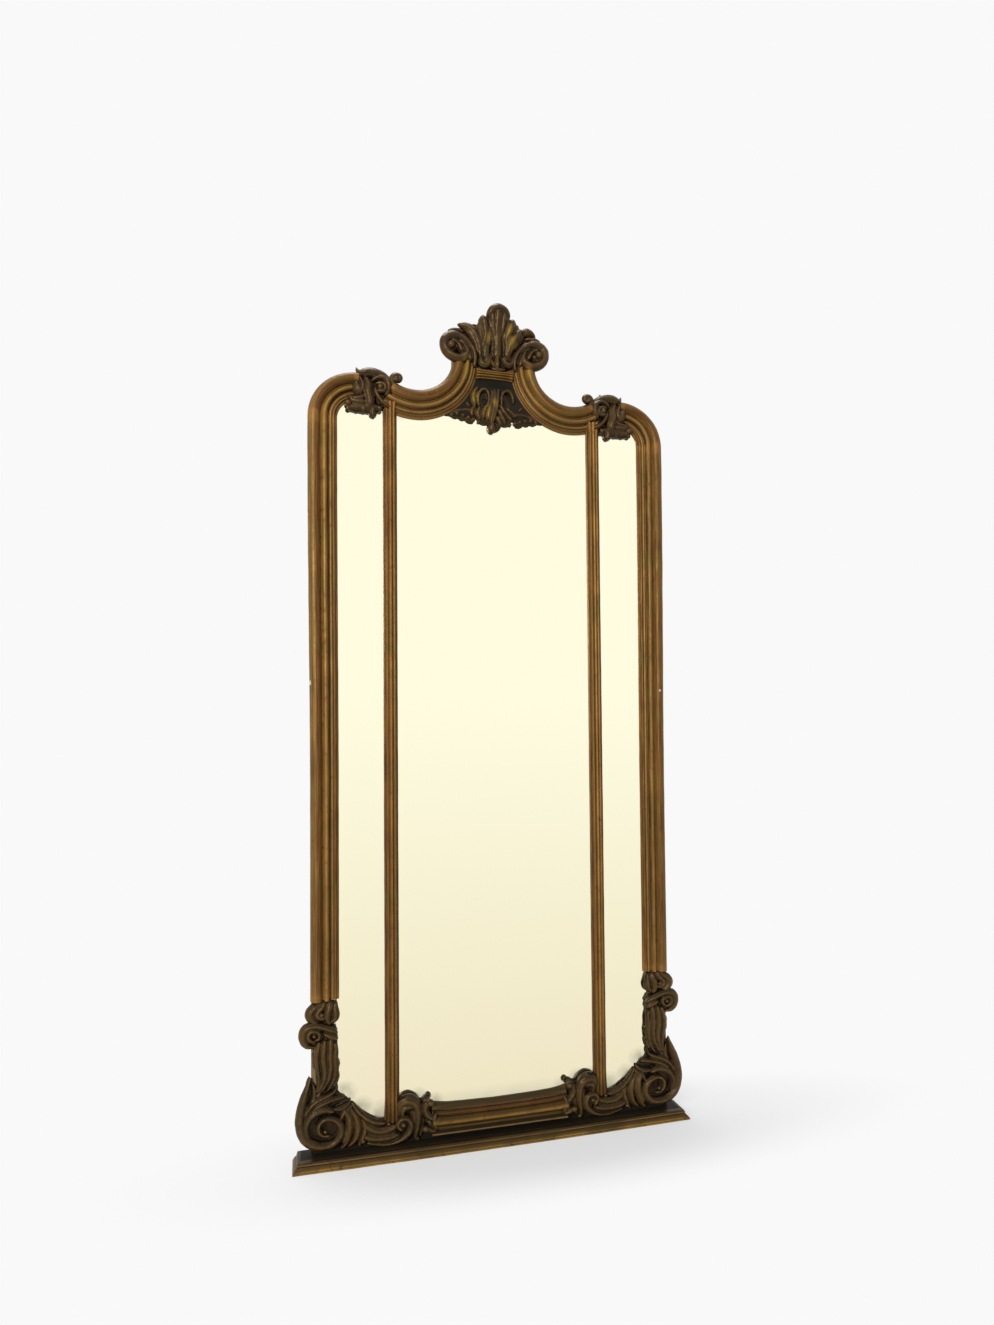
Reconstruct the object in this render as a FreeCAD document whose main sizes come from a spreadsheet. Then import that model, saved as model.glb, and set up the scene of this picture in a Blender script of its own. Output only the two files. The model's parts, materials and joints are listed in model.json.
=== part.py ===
import FreeCAD, Part
import math
import os
from types import SimpleNamespace

import Sketcher

# A standing pier mirror: pine carcase, three panes, applied carved and gilded mouldings.
# Frame: X to the viewer's right, Y away from the viewer, Z up, millimetres.
# Origin: middle of the plinth's underside.  "Depth" below is measured forwards from the back face.

os.makedirs("parts", exist_ok=True)
doc = FreeCAD.newDocument("PierMirror")

SIZES = {
    # carcase and mouldings
    "frame_half": 419,          # middle of the mirror to the outer edge of a stile
    "shoulder_top": 1725,       # height of the rounded shoulders
    "shoulder_radius": 105,     # outer edge of a shoulder
    "moulding_width": 61,
    "moulding_rise": 20,        # how far the moulding stands in front of the carcase
    "carcase_depth": 22,
    "carcase_inset": 2,         # carcase edge behind the moulding's outer edge
    "stile_foot": 345,          # lower end of the stile moulding
    # scrolled arch
    "scroll_x": 187,            # middle of each scroll's arc, off the centre line
    "scroll_lift": 58,          # that middle, above the shoulders
    "scroll_radius": 88,        # concave upper edge of the arc
    "scroll_reach": 32,         # degrees of arc outward of straight down
    "scroll_rise": 4,           # degrees of arc above level, under the crest
    # panes, boards and battens
    "sight_lip": 10,            # how far the moulding covers a pane
    "pane_thickness": 4,
    "pane_play": 1.5,
    "sill_height": 70,          # top of the bottom rail, where the panes stand
    "head_gap": 53,             # shoulder top down to the head board's lower edge
    "board_thickness": 9,
    "board_joint": 1,
    "batten_height": 70,
    "batten_lap": 38,
    "batten_low": 620,
    "batten_high": 1180,
    # mullions
    "mullion_x": 244,
    "mullion_width": 31,
    "mullion_rise": 14,
    "mullion_foot": 80,
    "tongue_width": 9,
    # plinth
    "plinth_overhang": 27,      # plinth beyond a stile's outer edge
    "plinth_depth": 49,
    "plinth_height": 20,
    "plinth_flare": 10,
    "plinth_rim": 6,            # moulding thickness at the top edge
    # foot ornaments
    "foot_height": 30,          # underside of the carved foot pieces
    "knop_height": 47,
    "console_height": 133,
    "console_bulge": 22,        # console scroll outside the stile's outer edge
    "volute_bulge": 30,         # corner volute outside the stile's outer edge
    "volute_inner": 101,        # corner volute inside the stile's outer edge
    "carving_rise": 27,
    "rail_half": 150,           # half length of the straight bottom moulding
    "rail_height": 97,
    "rail_sag": 5,
    "hump_height": 120,
    # crest and tympanum
    "crest_top": 120,           # crest tip above the scroll middles
    "crest_lean": 12,           # degrees forward
    "crest_thickness": 15,
    "bar_height": 21,
    "bar_drop": 38,             # underside of the bar below the scroll middles
    "panel_thickness": 4,
    "pendant_drop": 166,        # pendant tip below the scroll middles
    "fringe_drop": 132,         # tympanum's lower edge below the scroll middles
    # hangers and screws
    "hanger_inset": 27,         # hanger's middle inside the stile's outer edge
    "hanger_drop": 275,         # ring's axis below the shoulders
    "hanger_width": 18,
    "hanger_length": 60,
    "hanger_plate": 2,
    "ring_wire": 2,
    "ring_half": 17,
    "ring_leg": 13,
    "ring_play": 0.06,
    "ring_stand": 4.6,          # ring's axis behind the carcase
    "screw_radius": 2,
    "screw_head": 4,
    "screw_length": 17,
    "screw_play": 0.1,
}

sheet = doc.addObject("Spreadsheet::Sheet", "Sizes")
for row, (alias, number) in enumerate(SIZES.items(), start=1):
    sheet.set(f"A{row}", alias)
    sheet.set(f"B{row}", str(number))
    sheet.setAlias(f"B{row}", alias)
doc.recompute()


class Size:
    """A length and the sheet formula that gives it."""

    def __init__(self, value, formula):
        self.value = value
        self.formula = formula

    def join(self, other, sign, value):
        return Size(value, f"({self.formula} {sign} {size(other).formula})")

    def __add__(self, other):
        return self.join(other, "+", self.value + size(other).value)

    def __sub__(self, other):
        return self.join(other, "-", self.value - size(other).value)

    def __mul__(self, other):
        return self.join(other, "*", self.value * size(other).value)

    def __truediv__(self, other):
        return self.join(other, "/", self.value / size(other).value)

    def __neg__(self):
        return self * -1


def size(number):
    if isinstance(number, Size):
        return number
    return Size(float(number), f"({float(number)!r})")


def sin_of(angle):
    return Size(math.sin(math.radians(angle.value)), f"sin({angle.formula})")


def cos_of(angle):
    return Size(math.cos(math.radians(angle.value)), f"cos({angle.formula})")


def root_of(square):
    return Size(math.sqrt(square.value), f"sqrt({square.formula})")


def bind(thing, path, amount):
    """Ties one property of an object to the sheet."""
    thing.setExpression(path, size(amount).formula)


s = SimpleNamespace(**{name: Size(float(n), f"Sizes.{name}") for name, n in SIZES.items()})

# Places that several pieces share.
back = (s.plinth_depth + s.plinth_flare) / 2
sight = s.frame_half - s.moulding_width
pane_edge = sight + s.sight_lip
shoulder_x = s.frame_half - s.shoulder_radius
shoulder_z = s.shoulder_top - s.shoulder_radius
scroll_z = s.shoulder_top + s.scroll_lift
scroll_sight = s.scroll_radius + s.moulding_width
head_edge = s.shoulder_top - s.head_gap
knop_foot = s.stile_foot - s.knop_height
console_foot = knop_foot - s.console_height
console_side = sight + s.moulding_width * 0.06
carving_front = s.carcase_depth + s.carving_rise
pane_back = s.carcase_depth - s.pane_thickness
board_back = pane_back - s.board_thickness
plinth_half = s.frame_half + s.plinth_overhang
hanger_x = s.frame_half - s.hanger_inset
hanger_z = s.shoulder_top - s.hanger_drop
mullion_outer = s.mullion_x + s.mullion_width / 2
mullion_inner = s.mullion_x - s.mullion_width / 2
SIDES = {"left": -1, "right": 1}
nodes = []


def keep(thing, name):
    thing.Label = name
    nodes.append(thing)
    return thing


def new_body(name, x=0, y=back, z=0):
    body = doc.addObject("PartDesign::Body", "Body_" + name)
    for axis, amount in zip("xyz", (x, y, z)):
        bind(body, f"Placement.Base.{axis}", amount)
    return keep(body, name)


def own_plane(body, role):
    return next(f for f in body.Origin.OriginFeatures if f.Role == role)


def new_sketch(body, name, plane, offset=0):
    sketch = body.newObject("Sketcher::SketchObject", name)
    sketch.AttachmentSupport = [(own_plane(body, plane), "")]
    sketch.MapMode = "FlatFace"
    bind(sketch, "AttachmentOffset.Base.z", offset)
    return sketch


def arc_through(start, end, bulge):
    """Middle, radius and end angles of the arc that stands `bulge` to the right of start-end."""
    along = end - start
    chord = along.Length
    radius = (chord * chord / 4 + bulge * bulge) / (2 * abs(bulge))
    right = FreeCAD.Vector(along.y, -along.x, 0) / chord
    side = math.copysign(1, bulge)
    middle = (start + end) / 2 + right * (bulge - side * radius)
    angles = [math.atan2(p.y - middle.y, p.x - middle.x) for p in (start, end)]
    return middle, radius, angles


def draw(sketch, points, mirror=1):
    """A closed outline.  A point is (x, y) after a straight line or (x, y, bulge) after an arc.

    An arc stands `bulge` to the right of its chord, so outwards on an anticlockwise outline.
    """
    corners = [(size(p[0]) * mirror, size(p[1])) for p in points]
    flat = [FreeCAD.Vector(x.value, y.value, 0) for x, y in corners]
    curves, starts, ends, bulges = [], [], [], []
    for index, start in enumerate(flat):
        follower = (index + 1) % len(flat)
        step = points[follower]
        bulge = size(step[2]) * mirror if len(step) == 3 else None
        bulges.append(bulge)
        if bulge is None:
            curves.append(Part.LineSegment(start, flat[follower]))
            starts.append(1)
            ends.append(2)
            continue
        middle, radius, angles = arc_through(start, flat[follower], bulge.value)
        circle = Part.Circle(middle, FreeCAD.Vector(0, 0, 1), radius)
        clockwise = bulge.value < 0
        if clockwise:
            angles.reverse()
        curves.append(Part.ArcOfCircle(circle, angles[0], angles[1]))
        starts.append(2 if clockwise else 1)
        ends.append(1 if clockwise else 2)
    sketch.addGeometry(curves, False)
    rules, formulas = [], []
    for index, (x, y) in enumerate(corners):
        before = index - 1 if index else len(corners) - 1
        rules.append(Sketcher.Constraint("Coincident", before, ends[before], index, starts[index]))
        formulas.append(None)
        rules.append(Sketcher.Constraint("DistanceX", -1, 1, index, starts[index], x.value))
        formulas.append(x.formula)
        rules.append(Sketcher.Constraint("DistanceY", -1, 1, index, starts[index], y.value))
        formulas.append(y.formula)
    for index, bulge in enumerate(bulges):
        if bulge is None:
            continue
        x0, y0 = corners[index]
        x1, y1 = corners[(index + 1) % len(corners)]
        chord_x = x1 - x0
        chord_y = y1 - y0
        square = chord_x * chord_x + chord_y * chord_y
        depth = bulge if bulge.value > 0 else -bulge
        radius = (square / 4 + bulge * bulge) / (depth * 2)
        rules.append(Sketcher.Constraint("Radius", index, radius.value))
        formulas.append(radius.formula)
    sketch.addConstraint(rules)
    for index, formula in enumerate(formulas):
        if formula and "Sizes" in formula:
            sketch.setExpression(f"Constraints[{index}]", formula)
    return sketch


def draw_circle(sketch, x, y, radius):
    index = sketch.addGeometry(
        Part.Circle(FreeCAD.Vector(x.value, y.value, 0), FreeCAD.Vector(0, 0, 1), radius.value), False
    )
    rules = [
        Sketcher.Constraint("DistanceX", -1, 1, index, 3, x.value),
        Sketcher.Constraint("DistanceY", -1, 1, index, 3, y.value),
        Sketcher.Constraint("Radius", index, radius.value),
    ]
    first = sketch.addConstraint(rules)[0]
    for step, amount in enumerate((x, y, radius)):
        sketch.setExpression(f"Constraints[{first + step}]", amount.formula)
    return sketch


def pad(body, sketch, length, name="Pad", reverse=False):
    feature = body.newObject("PartDesign::Pad", name)
    feature.Profile = sketch
    bind(feature, "Length", length)
    feature.Reversed = reverse
    sketch.Visibility = False
    return feature


def pocket(body, sketch, length, name="Pocket", reverse=False):
    """Cuts a sketch out of a body and makes sure that something was cut."""
    doc.recompute()
    before = body.Shape.Volume
    feature = body.newObject("PartDesign::Pocket", name)
    feature.Profile = sketch
    bind(feature, "Length", length)
    feature.Reversed = reverse
    doc.recompute()
    if before - body.Shape.Volume < 1:
        raise ValueError(f"{body.Label}: {name} cut nothing")
    return feature


def plate(name, side, depth, thickness, points, z=0):
    """A piece sawn to an outline seen from the front, from `depth` forwards."""
    body = new_body(name, z=z)
    sketch = draw(new_sketch(body, "Outline_" + name, "XZ_Plane", depth), points, side)
    pad(body, sketch, thickness)
    return body


def boss(body, x, z, radius, depth, rise, name="Boss"):
    """A round boss that stands out of a carved piece."""
    sketch = new_sketch(body, name + "_outline_" + body.Label, "XZ_Plane", depth)
    draw_circle(sketch, size(x), size(z), size(radius))
    pad(body, sketch, rise, name)


def moulding_section(near, across):
    """The frame's gilded section: broad roll, hollow, bead, quirk, two reeds and sight edge.

    `near` is where the outer edge lies and `across` is +1 or -1, the way the width runs.
    """
    wide, high, base = s.moulding_width, s.moulding_rise, s.carcase_depth

    def at(u, w, bulge=None):
        point = (near + wide * (u * across), -(base + high * w))
        return point if bulge is None else (*point, wide * (bulge * across))

    return [
        at(0, 0),
        at(0, 0.15),
        at(0.26, 1.0, 0.085),
        at(0.43, 0.45, 0.055),
        at(0.47, 0.45),
        at(0.68, 0.5, 0.07),
        at(0.72, 0.28),
        at(0.80, 0.28, 0.035),
        at(0.82, 0.28),
        at(0.90, 0.24, 0.035),
        at(1, 0.1, 0.02),
        at(1, 0),
    ]


# ---- plinth -------------------------------------------------------------------------------

board_half = plinth_half - s.plinth_rim
board_depth = s.plinth_depth - s.plinth_rim
lip = s.plinth_rim + s.plinth_flare

body = plate(
    "plinth_board", 1, 0, board_depth,
    [(-board_half, 0), (board_half, 0), (board_half, s.plinth_height), (-board_half, s.plinth_height)],
)


def plinth_section(near, across):
    """Quirked bead over an ogee that flares out to the lip, from the board outwards."""
    high = s.plinth_height
    return [
        (near, 0),
        (near + lip * across, 0),
        (near + lip * across, high * 0.18),
        (near + (lip - 3) * across, high * 0.36, 1.2 * across),
        (near + (s.plinth_rim - 1) * across, high * 0.78, -1.6 * across),
        (near + s.plinth_rim * across, high * 0.84),
        (near + s.plinth_rim * across, high * 0.96, 0.8 * across),
        (near + (s.plinth_rim - 1) * across, high),
        (near, high),
    ]


mitre = lip + 1
body = new_body("plinth_moulding_front")
sketch = new_sketch(body, "Section_plinth_front", "YZ_Plane", -(board_half + lip))
draw(sketch, plinth_section(-board_depth, -1))
pad(body, sketch, (board_half + lip) * 2)
for label, side in SIDES.items():
    sketch = new_sketch(body, "Mitre_" + label, "XY_Plane", -1)
    draw(
        sketch,
        [
            (board_half, -board_depth),
            (board_half + mitre, -(board_depth + mitre)),
            (board_half + mitre, -board_depth + 1),
            (board_half, -board_depth + 1),
        ],
        side,
    )
    pocket(body, sketch, s.plinth_height + 2, "Mitre_cut_" + label, reverse=True)

for label, side in SIDES.items():
    body = new_body("plinth_moulding_" + label)
    sketch = new_sketch(body, "Section_plinth_" + label, "XZ_Plane")
    draw(sketch, plinth_section(board_half, 1), side)
    pad(body, sketch, board_depth + lip)
    sketch = new_sketch(body, "Mitre_end_" + label, "XY_Plane", -1)
    draw(
        sketch,
        [
            (board_half, -board_depth),
            (board_half - 1, -board_depth),
            (board_half - 1, -(board_depth + mitre)),
            (board_half + mitre, -(board_depth + mitre)),
        ],
        side,
    )
    pocket(body, sketch, s.plinth_height + 2, "Mitre_cut", reverse=True)

# ---- carcase ------------------------------------------------------------------------------

stile_outer = s.frame_half - s.carcase_inset
lap_edge = pane_edge + s.batten_lap
batten_feet = {"lower": s.batten_low, "upper": s.batten_high}
screw_rows = (0.25, 0.75)
lap_screw_x = pane_edge + s.batten_lap / 2
hanger_screw_drops = (s.hanger_length * 0.62, s.hanger_length * 0.87)
hole_radius = s.screw_radius + s.screw_play

for label, side in SIDES.items():
    body = plate(
        "back_stile_" + label, side, 0, s.carcase_depth,
        [
            (pane_edge, s.plinth_height),
            (stile_outer, s.plinth_height),
            (stile_outer, shoulder_z),
            (pane_edge, shoulder_z),
        ],
    )
    for which, foot in batten_feet.items():
        sketch = new_sketch(body, f"Lap_{which}_{label}", "XZ_Plane")
        draw(
            sketch,
            [
                (pane_edge - 1, foot),
                (lap_edge, foot),
                (lap_edge, foot + s.batten_height),
                (pane_edge - 1, foot + s.batten_height),
            ],
            side,
        )
        pocket(body, sketch, board_back, "Lap_" + which, reverse=True)
    sketch = new_sketch(body, "Screw_holes_" + label, "XZ_Plane")
    for foot in batten_feet.values():
        for share in screw_rows:
            draw_circle(sketch, lap_screw_x * side, foot + s.batten_height * share, hole_radius)
    for drop in hanger_screw_drops:
        draw_circle(sketch, hanger_x * side, hanger_z - drop, hole_radius)
    pocket(body, sketch, s.screw_length + 1, "Screw_holes", reverse=True)

plate(
    "bottom_rail", 1, 0, s.carcase_depth,
    [
        (-pane_edge, s.plinth_height),
        (pane_edge, s.plinth_height),
        (pane_edge, s.sill_height),
        (-pane_edge, s.sill_height),
    ],
)

# The head board: rounded shoulders, a hollow over each scroll and a tongue behind the crest.
head_radius = s.shoulder_radius - s.carcase_inset
hollow = s.scroll_radius + s.carcase_inset
quarter_bulge = 1 - math.sqrt(0.5)  # how far a quarter circle stands off its chord, per radius
right_half = [
    (pane_edge, shoulder_z),
    (stile_outer, shoulder_z),
    (shoulder_x, shoulder_z + head_radius, head_radius * quarter_bulge),
    (s.scroll_x + hollow * 0.8, shoulder_z + head_radius),
    (s.scroll_x + hollow * 0.6, scroll_z - hollow * 0.8),
    (s.scroll_x - hollow * 0.6, scroll_z - hollow * 0.8, hollow * -0.2),
    (s.scroll_x - hollow, scroll_z, hollow * (math.sqrt(0.8) - 1)),
    (s.scroll_x - hollow, scroll_z + 8),
    (42, scroll_z + 50),
]


def mirrored(points):
    """The same outline on the other side, walked the other way."""
    turned = []
    for index in range(len(points) - 1, -1, -1):
        x, y = points[index][:2]
        after = points[index + 1] if index + 1 < len(points) else ()
        turned.append((-size(x), y, after[2]) if len(after) == 3 else (-size(x), y))
    return turned


head_corner = (pane_edge - shoulder_x) * -quarter_bulge
head = [
    *right_half,
    *mirrored(right_half),
    (-shoulder_x, head_edge, head_corner),
    (shoulder_x, head_edge),
]
head[0] = (*head[0], head_corner)
plate("head_board", 1, 0, s.carcase_depth, head)

for which, foot in batten_feet.items():
    body = plate(
        "batten_" + which, 1, 0, board_back,
        [
            (-lap_edge, foot),
            (lap_edge, foot),
            (lap_edge, foot + s.batten_height),
            (-lap_edge, foot + s.batten_height),
        ],
    )
    sketch = new_sketch(body, "Screw_holes_" + which, "XZ_Plane")
    for side in SIDES.values():
        for share in screw_rows:
            draw_circle(sketch, lap_screw_x * side, foot + s.batten_height * share, hole_radius)
    pocket(body, sketch, board_back + 1, "Screw_holes", reverse=True)

# ---- panes and their backboards -----------------------------------------------------------

pane_foot = s.sill_height
pane_top = head_edge - s.pane_play
pane_outer = pane_edge - s.pane_play
tongue_half = s.tongue_width / 2
centre_edge = s.mullion_x - tongue_half - s.board_joint
side_edge = s.mullion_x + tongue_half + s.board_joint
pane_corner = pane_outer - shoulder_x


def side_pane():
    return [
        (side_edge, pane_foot),
        (pane_outer, pane_foot),
        (pane_outer, shoulder_z),
        (shoulder_x, pane_top, pane_corner * quarter_bulge),
        (side_edge, pane_top),
    ]


def upright(first, last):
    return [(first, pane_foot), (last, pane_foot), (last, pane_top), (first, pane_top)]


plate("glass_centre", 1, pane_back, s.pane_thickness, upright(-centre_edge, centre_edge))
for label, side in SIDES.items():
    plate("glass_" + label, side, pane_back, s.pane_thickness, side_pane())
    plate("backboard_" + label, side, board_back, s.board_thickness, side_pane())
    plate(
        "backboard_centre_" + label, side, board_back, s.board_thickness,
        upright(s.board_joint / 2, centre_edge),
    )

# ---- stile, shoulder and scroll mouldings ---------------------------------------------------

for label, side in SIDES.items():
    body = new_body("stile_moulding_" + label, z=s.stile_foot)
    sketch = new_sketch(body, "Section_stile_" + label, "XY_Plane")
    draw(sketch, moulding_section(s.frame_half, -1), side)
    pad(body, sketch, shoulder_z - s.stile_foot)


def turned(name, x, z, section, side, first, sweep, backwards):
    """A moulding turned about an axis along Y: `first` and `sweep` in degrees."""
    body = new_body(name, x=x, z=z)
    sketch = new_sketch(body, "Section_" + name, "XY_Plane")
    draw(sketch, section, side)
    feature = body.newObject("PartDesign::Revolution", "Turn")
    feature.Profile = sketch
    feature.ReferenceAxis = (sketch, ["V_Axis"])
    bind(feature, "Angle", sweep)
    feature.Reversed = backwards
    body.Placement.Rotation = FreeCAD.Rotation(FreeCAD.Vector(0, side, 0), 1)
    bind(body, "Placement.Rotation.Angle", first)
    return body


for label, side in SIDES.items():
    turned(
        "shoulder_moulding_" + label, shoulder_x * side, shoulder_z,
        moulding_section(s.shoulder_radius, -1), side, 0, 90, side > 0,
    )
    turned(
        "scroll_moulding_" + label, s.scroll_x * side, scroll_z,
        moulding_section(s.scroll_radius, 1), side, -s.scroll_reach + 90,
        s.scroll_reach + s.scroll_rise + 90, side < 0,
    )

# ---- mullions -------------------------------------------------------------------------------

for label, side in SIDES.items():
    stem = new_body("Mullion_stem_" + label, z=s.sill_height)
    nodes.remove(stem)
    near, base, high = s.mullion_x, s.carcase_depth, s.mullion_rise
    half = s.mullion_width / 2
    reed = s.mullion_width / 6
    sketch = new_sketch(stem, "Section_mullion_" + label, "XY_Plane")
    draw(
        sketch,
        [
            (near - tongue_half, -board_back),
            (near - tongue_half, -base),
            (near - half, -base),
            (near - half, -(base + high * 0.3)),
            (near - reed, -(base + high * 0.6), 3.2),
            (near + reed, -(base + high * 0.6), 4.2),
            (near + half, -(base + high * 0.3), 3.2),
            (near + half, -base),
            (near + tongue_half, -base),
            (near + tongue_half, -board_back),
        ],
        side,
    )
    pad(stem, sketch, scroll_z - s.sill_height)
    # What the stem gives way to: the scrolled arch above, the head board, and the foot carving.
    arch = doc.addObject("Part::Cylinder", "Arch_" + label)
    bind(arch, "Radius", scroll_sight)
    bind(arch, "Height", s.carcase_depth * 3)
    arch.Placement.Rotation = FreeCAD.Rotation(FreeCAD.Vector(1, 0, 0), 90)
    bind(arch, "Placement.Base.x", s.scroll_x * side)
    bind(arch, "Placement.Base.y", back - s.carcase_depth)
    bind(arch, "Placement.Base.z", scroll_z)
    over = doc.addObject("Part::Box", "Over_" + label)
    foot = doc.addObject("Part::Box", "Under_" + label)
    for block in (over, foot):
        bind(block, "Length", s.mullion_width * 2)
        bind(block, "Placement.Base.x", s.mullion_x * side - s.mullion_width)
    bind(over, "Width", s.carcase_depth)
    bind(over, "Height", s.scroll_lift + s.head_gap)
    bind(over, "Placement.Base.y", back - s.carcase_depth)
    bind(over, "Placement.Base.z", head_edge)
    bind(foot, "Width", s.carcase_depth)
    bind(foot, "Height", s.mullion_foot - s.sill_height)
    bind(foot, "Placement.Base.y", back - s.carcase_depth * 2)
    bind(foot, "Placement.Base.z", s.sill_height)
    tools = doc.addObject("Part::MultiFuse", "Clearances_" + label)
    tools.Shapes = [arch, over, foot]
    mullion = doc.addObject("Part::Cut", "Mullion_" + label)
    mullion.Base = stem
    mullion.Tool = tools
    keep(mullion, "mullion_" + label)

# ---- carved pieces of the foot --------------------------------------------------------------

# Outlines run in `out` (from the middle towards the stile) and height, and are mirrored in pairs.
volute_edge = s.frame_half + s.volute_bulge
volute_x = s.frame_half - 33
volute_z = s.foot_height + 42
leaf_x = s.frame_half - 87
leaf_z = s.foot_height + 98
hump_x = s.mullion_x - 38
for label, side in SIDES.items():
    body = plate(
        "stile_knop_" + label, side, s.carcase_depth, s.carving_rise - 4,
        [
            (console_side, knop_foot),
            (s.frame_half - 7, knop_foot),
            (s.frame_half + 11, knop_foot + 20, 6),
            (s.frame_half - 6, s.stile_foot, 5),
            (sight + 4, s.stile_foot),
            (sight, knop_foot + 25, 3),
        ],
    )
    boss(body, (s.frame_half - 2) * side, knop_foot + 20, 9, s.carcase_depth + 20, 7)
    body = plate(
        "console_leaf_" + label, side, s.carcase_depth, s.carving_rise - 2,
        [
            (console_side, console_foot),
            (s.frame_half - 13, console_foot),
            (s.frame_half - 9, console_foot + 48),
            (s.frame_half - 1, knop_foot - 50, -3),
            (s.frame_half + s.console_bulge, knop_foot - 26, 8),
            (s.frame_half - 4, knop_foot - 2, 7),
            (s.frame_half - 9, knop_foot),
            (console_side, knop_foot),
            (console_side - 4, knop_foot - 40, 2),
        ],
    )
    boss(body, (s.frame_half + 1) * side, knop_foot - 26, 17, s.carcase_depth + 20, 9)
    body = plate(
        "corner_volute_" + label, side, s.carcase_depth, s.carving_rise - 3,
        [
            (s.frame_half - s.volute_inner, s.foot_height),
            (s.frame_half - 12, s.foot_height),
            (volute_edge, s.foot_height + 62, 17),
            (s.frame_half + 17, console_foot, 4),
            (s.frame_half + 7, console_foot + 31, 2),
            (s.frame_half - 8, console_foot + 8),
            (s.frame_half - 13, console_foot),
            (console_side, console_foot),
            (leaf_x + 14, leaf_z + 12, -3),
            (leaf_x, leaf_z, 2),
            (s.frame_half - s.volute_inner, leaf_z - 22, 2),
        ],
    )
    boss(body, volute_x * side, volute_z, 40, s.carcase_depth + 22, 7, "Coil")
    boss(body, volute_x * side, volute_z, 14, s.carcase_depth + 28, 7, "Eye")
    plate(
        "base_scroll_" + label, side, s.carcase_depth, s.carving_rise - 2,
        [
            (mullion_inner, s.foot_height),
            (s.frame_half - s.volute_inner, s.foot_height),
            (s.frame_half - s.volute_inner, leaf_z - 22),
            (mullion_outer, s.mullion_foot, -9),
            (mullion_inner, s.mullion_foot),
        ],
    )
    body = plate(
        "rail_scroll_" + label, side, s.carcase_depth, s.carving_rise,
        [
            (s.rail_half, s.foot_height),
            (mullion_inner, s.foot_height),
            (mullion_inner - 3, s.mullion_foot + 8),
            (hump_x + 6, s.hump_height, 6),
            (hump_x - 18, s.hump_height - 22, 7),
            (hump_x - 34, s.hump_height - 4, 5),
            (hump_x - 50, s.rail_height + 6, 5),
            (s.rail_half, s.rail_height),
        ],
    )
    boss(body, (hump_x - 42) * side, s.foot_height + 22, 9, s.carcase_depth + 20, 10)

body = new_body("bottom_moulding")
front = s.carcase_depth
high = s.rail_height - s.foot_height
sketch = new_sketch(body, "Section_bottom", "YZ_Plane", -s.rail_half)
draw(
    sketch,
    [
        (-front, s.foot_height),
        (-(front + s.carving_rise), s.foot_height),
        (-(front + s.carving_rise), s.foot_height + high * 0.1),
        (-(front + s.carving_rise * 0.75), s.foot_height + high * 0.14),
        (-(front + s.carving_rise * 0.6), s.foot_height + high * 0.36, 3),
        (-(front + s.carving_rise * 0.6), s.foot_height + high * 0.62, -6),
        (-(front + s.carving_rise * 0.42), s.foot_height + high * 0.66),
        (-(front + s.carving_rise * 0.42), s.foot_height + high * 0.82, -3),
        (-(front + s.carving_rise * 0.15), s.rail_height, -2),
        (-front, s.rail_height),
    ],
)
pad(body, sketch, s.rail_half * 2)
sketch = new_sketch(body, "Sag_bottom", "XZ_Plane", s.carcase_depth - 1)
draw(
    sketch,
    [
        (-s.rail_half, s.rail_height),
        (s.rail_half, s.rail_height, s.rail_sag),
        (s.rail_half, s.rail_height + 5),
        (-s.rail_half, s.rail_height + 5),
    ],
)
pocket(body, sketch, s.carving_rise + 2, "Sag", reverse=True)

# ---- carved pieces of the head --------------------------------------------------------------

reach_sin = sin_of(s.scroll_reach)
reach_cos = cos_of(s.scroll_reach)
rise_sin = sin_of(s.scroll_rise)
rise_cos = cos_of(s.scroll_rise)
end_top = (s.scroll_x + s.scroll_radius * reach_sin, scroll_z - s.scroll_radius * reach_cos)
end_low = (s.scroll_x + scroll_sight * reach_sin, scroll_z - scroll_sight * reach_cos)
ear_outer = (s.scroll_x - s.scroll_radius * rise_cos, scroll_z + s.scroll_radius * rise_sin)
ear_inner = (s.scroll_x - scroll_sight * rise_cos, scroll_z + scroll_sight * rise_sin)
for label, side in SIDES.items():
    body = plate(
        "shoulder_rosette_" + label, side, s.carcase_depth, s.carving_rise,
        [
            (shoulder_x, s.shoulder_top - s.moulding_width),
            (shoulder_x, s.shoulder_top),
            (shoulder_x - 2, s.shoulder_top + 7),
            (shoulder_x - 50, s.shoulder_top + 8, 5),
            (end_top[0] + 5, end_top[1] + 14, 4),
            (end_top[0] - 12, end_top[1] + 16, 6),
            (end_top[0] - 8, end_top[1] + 3),
            end_top,
            end_low,
            (end_low[0] + 4, s.shoulder_top - 84, 1),
            (end_low[0] + 24, s.shoulder_top - 86, 6),
            (shoulder_x - 8, s.shoulder_top - 73, 4),
        ],
    )
    boss(body, (s.scroll_x + 76) * side, scroll_z - 92, 13, s.carcase_depth + 22, 9)
    body = plate(
        "crest_scroll_" + label, side, s.carcase_depth, s.carving_rise,
        [
            ear_inner,
            ear_outer,
            (ear_outer[0] + 31, scroll_z + 34, 6),
            (ear_outer[0] + 2, scroll_z + 66, 8),
            (ear_inner[0] + 16, scroll_z + 74, 5),
            (ear_inner[0], scroll_z + 52),
        ],
    )
    boss(body, (ear_outer[0] + 2) * side, scroll_z + 34, 24, s.carcase_depth + 22, 12)

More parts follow.
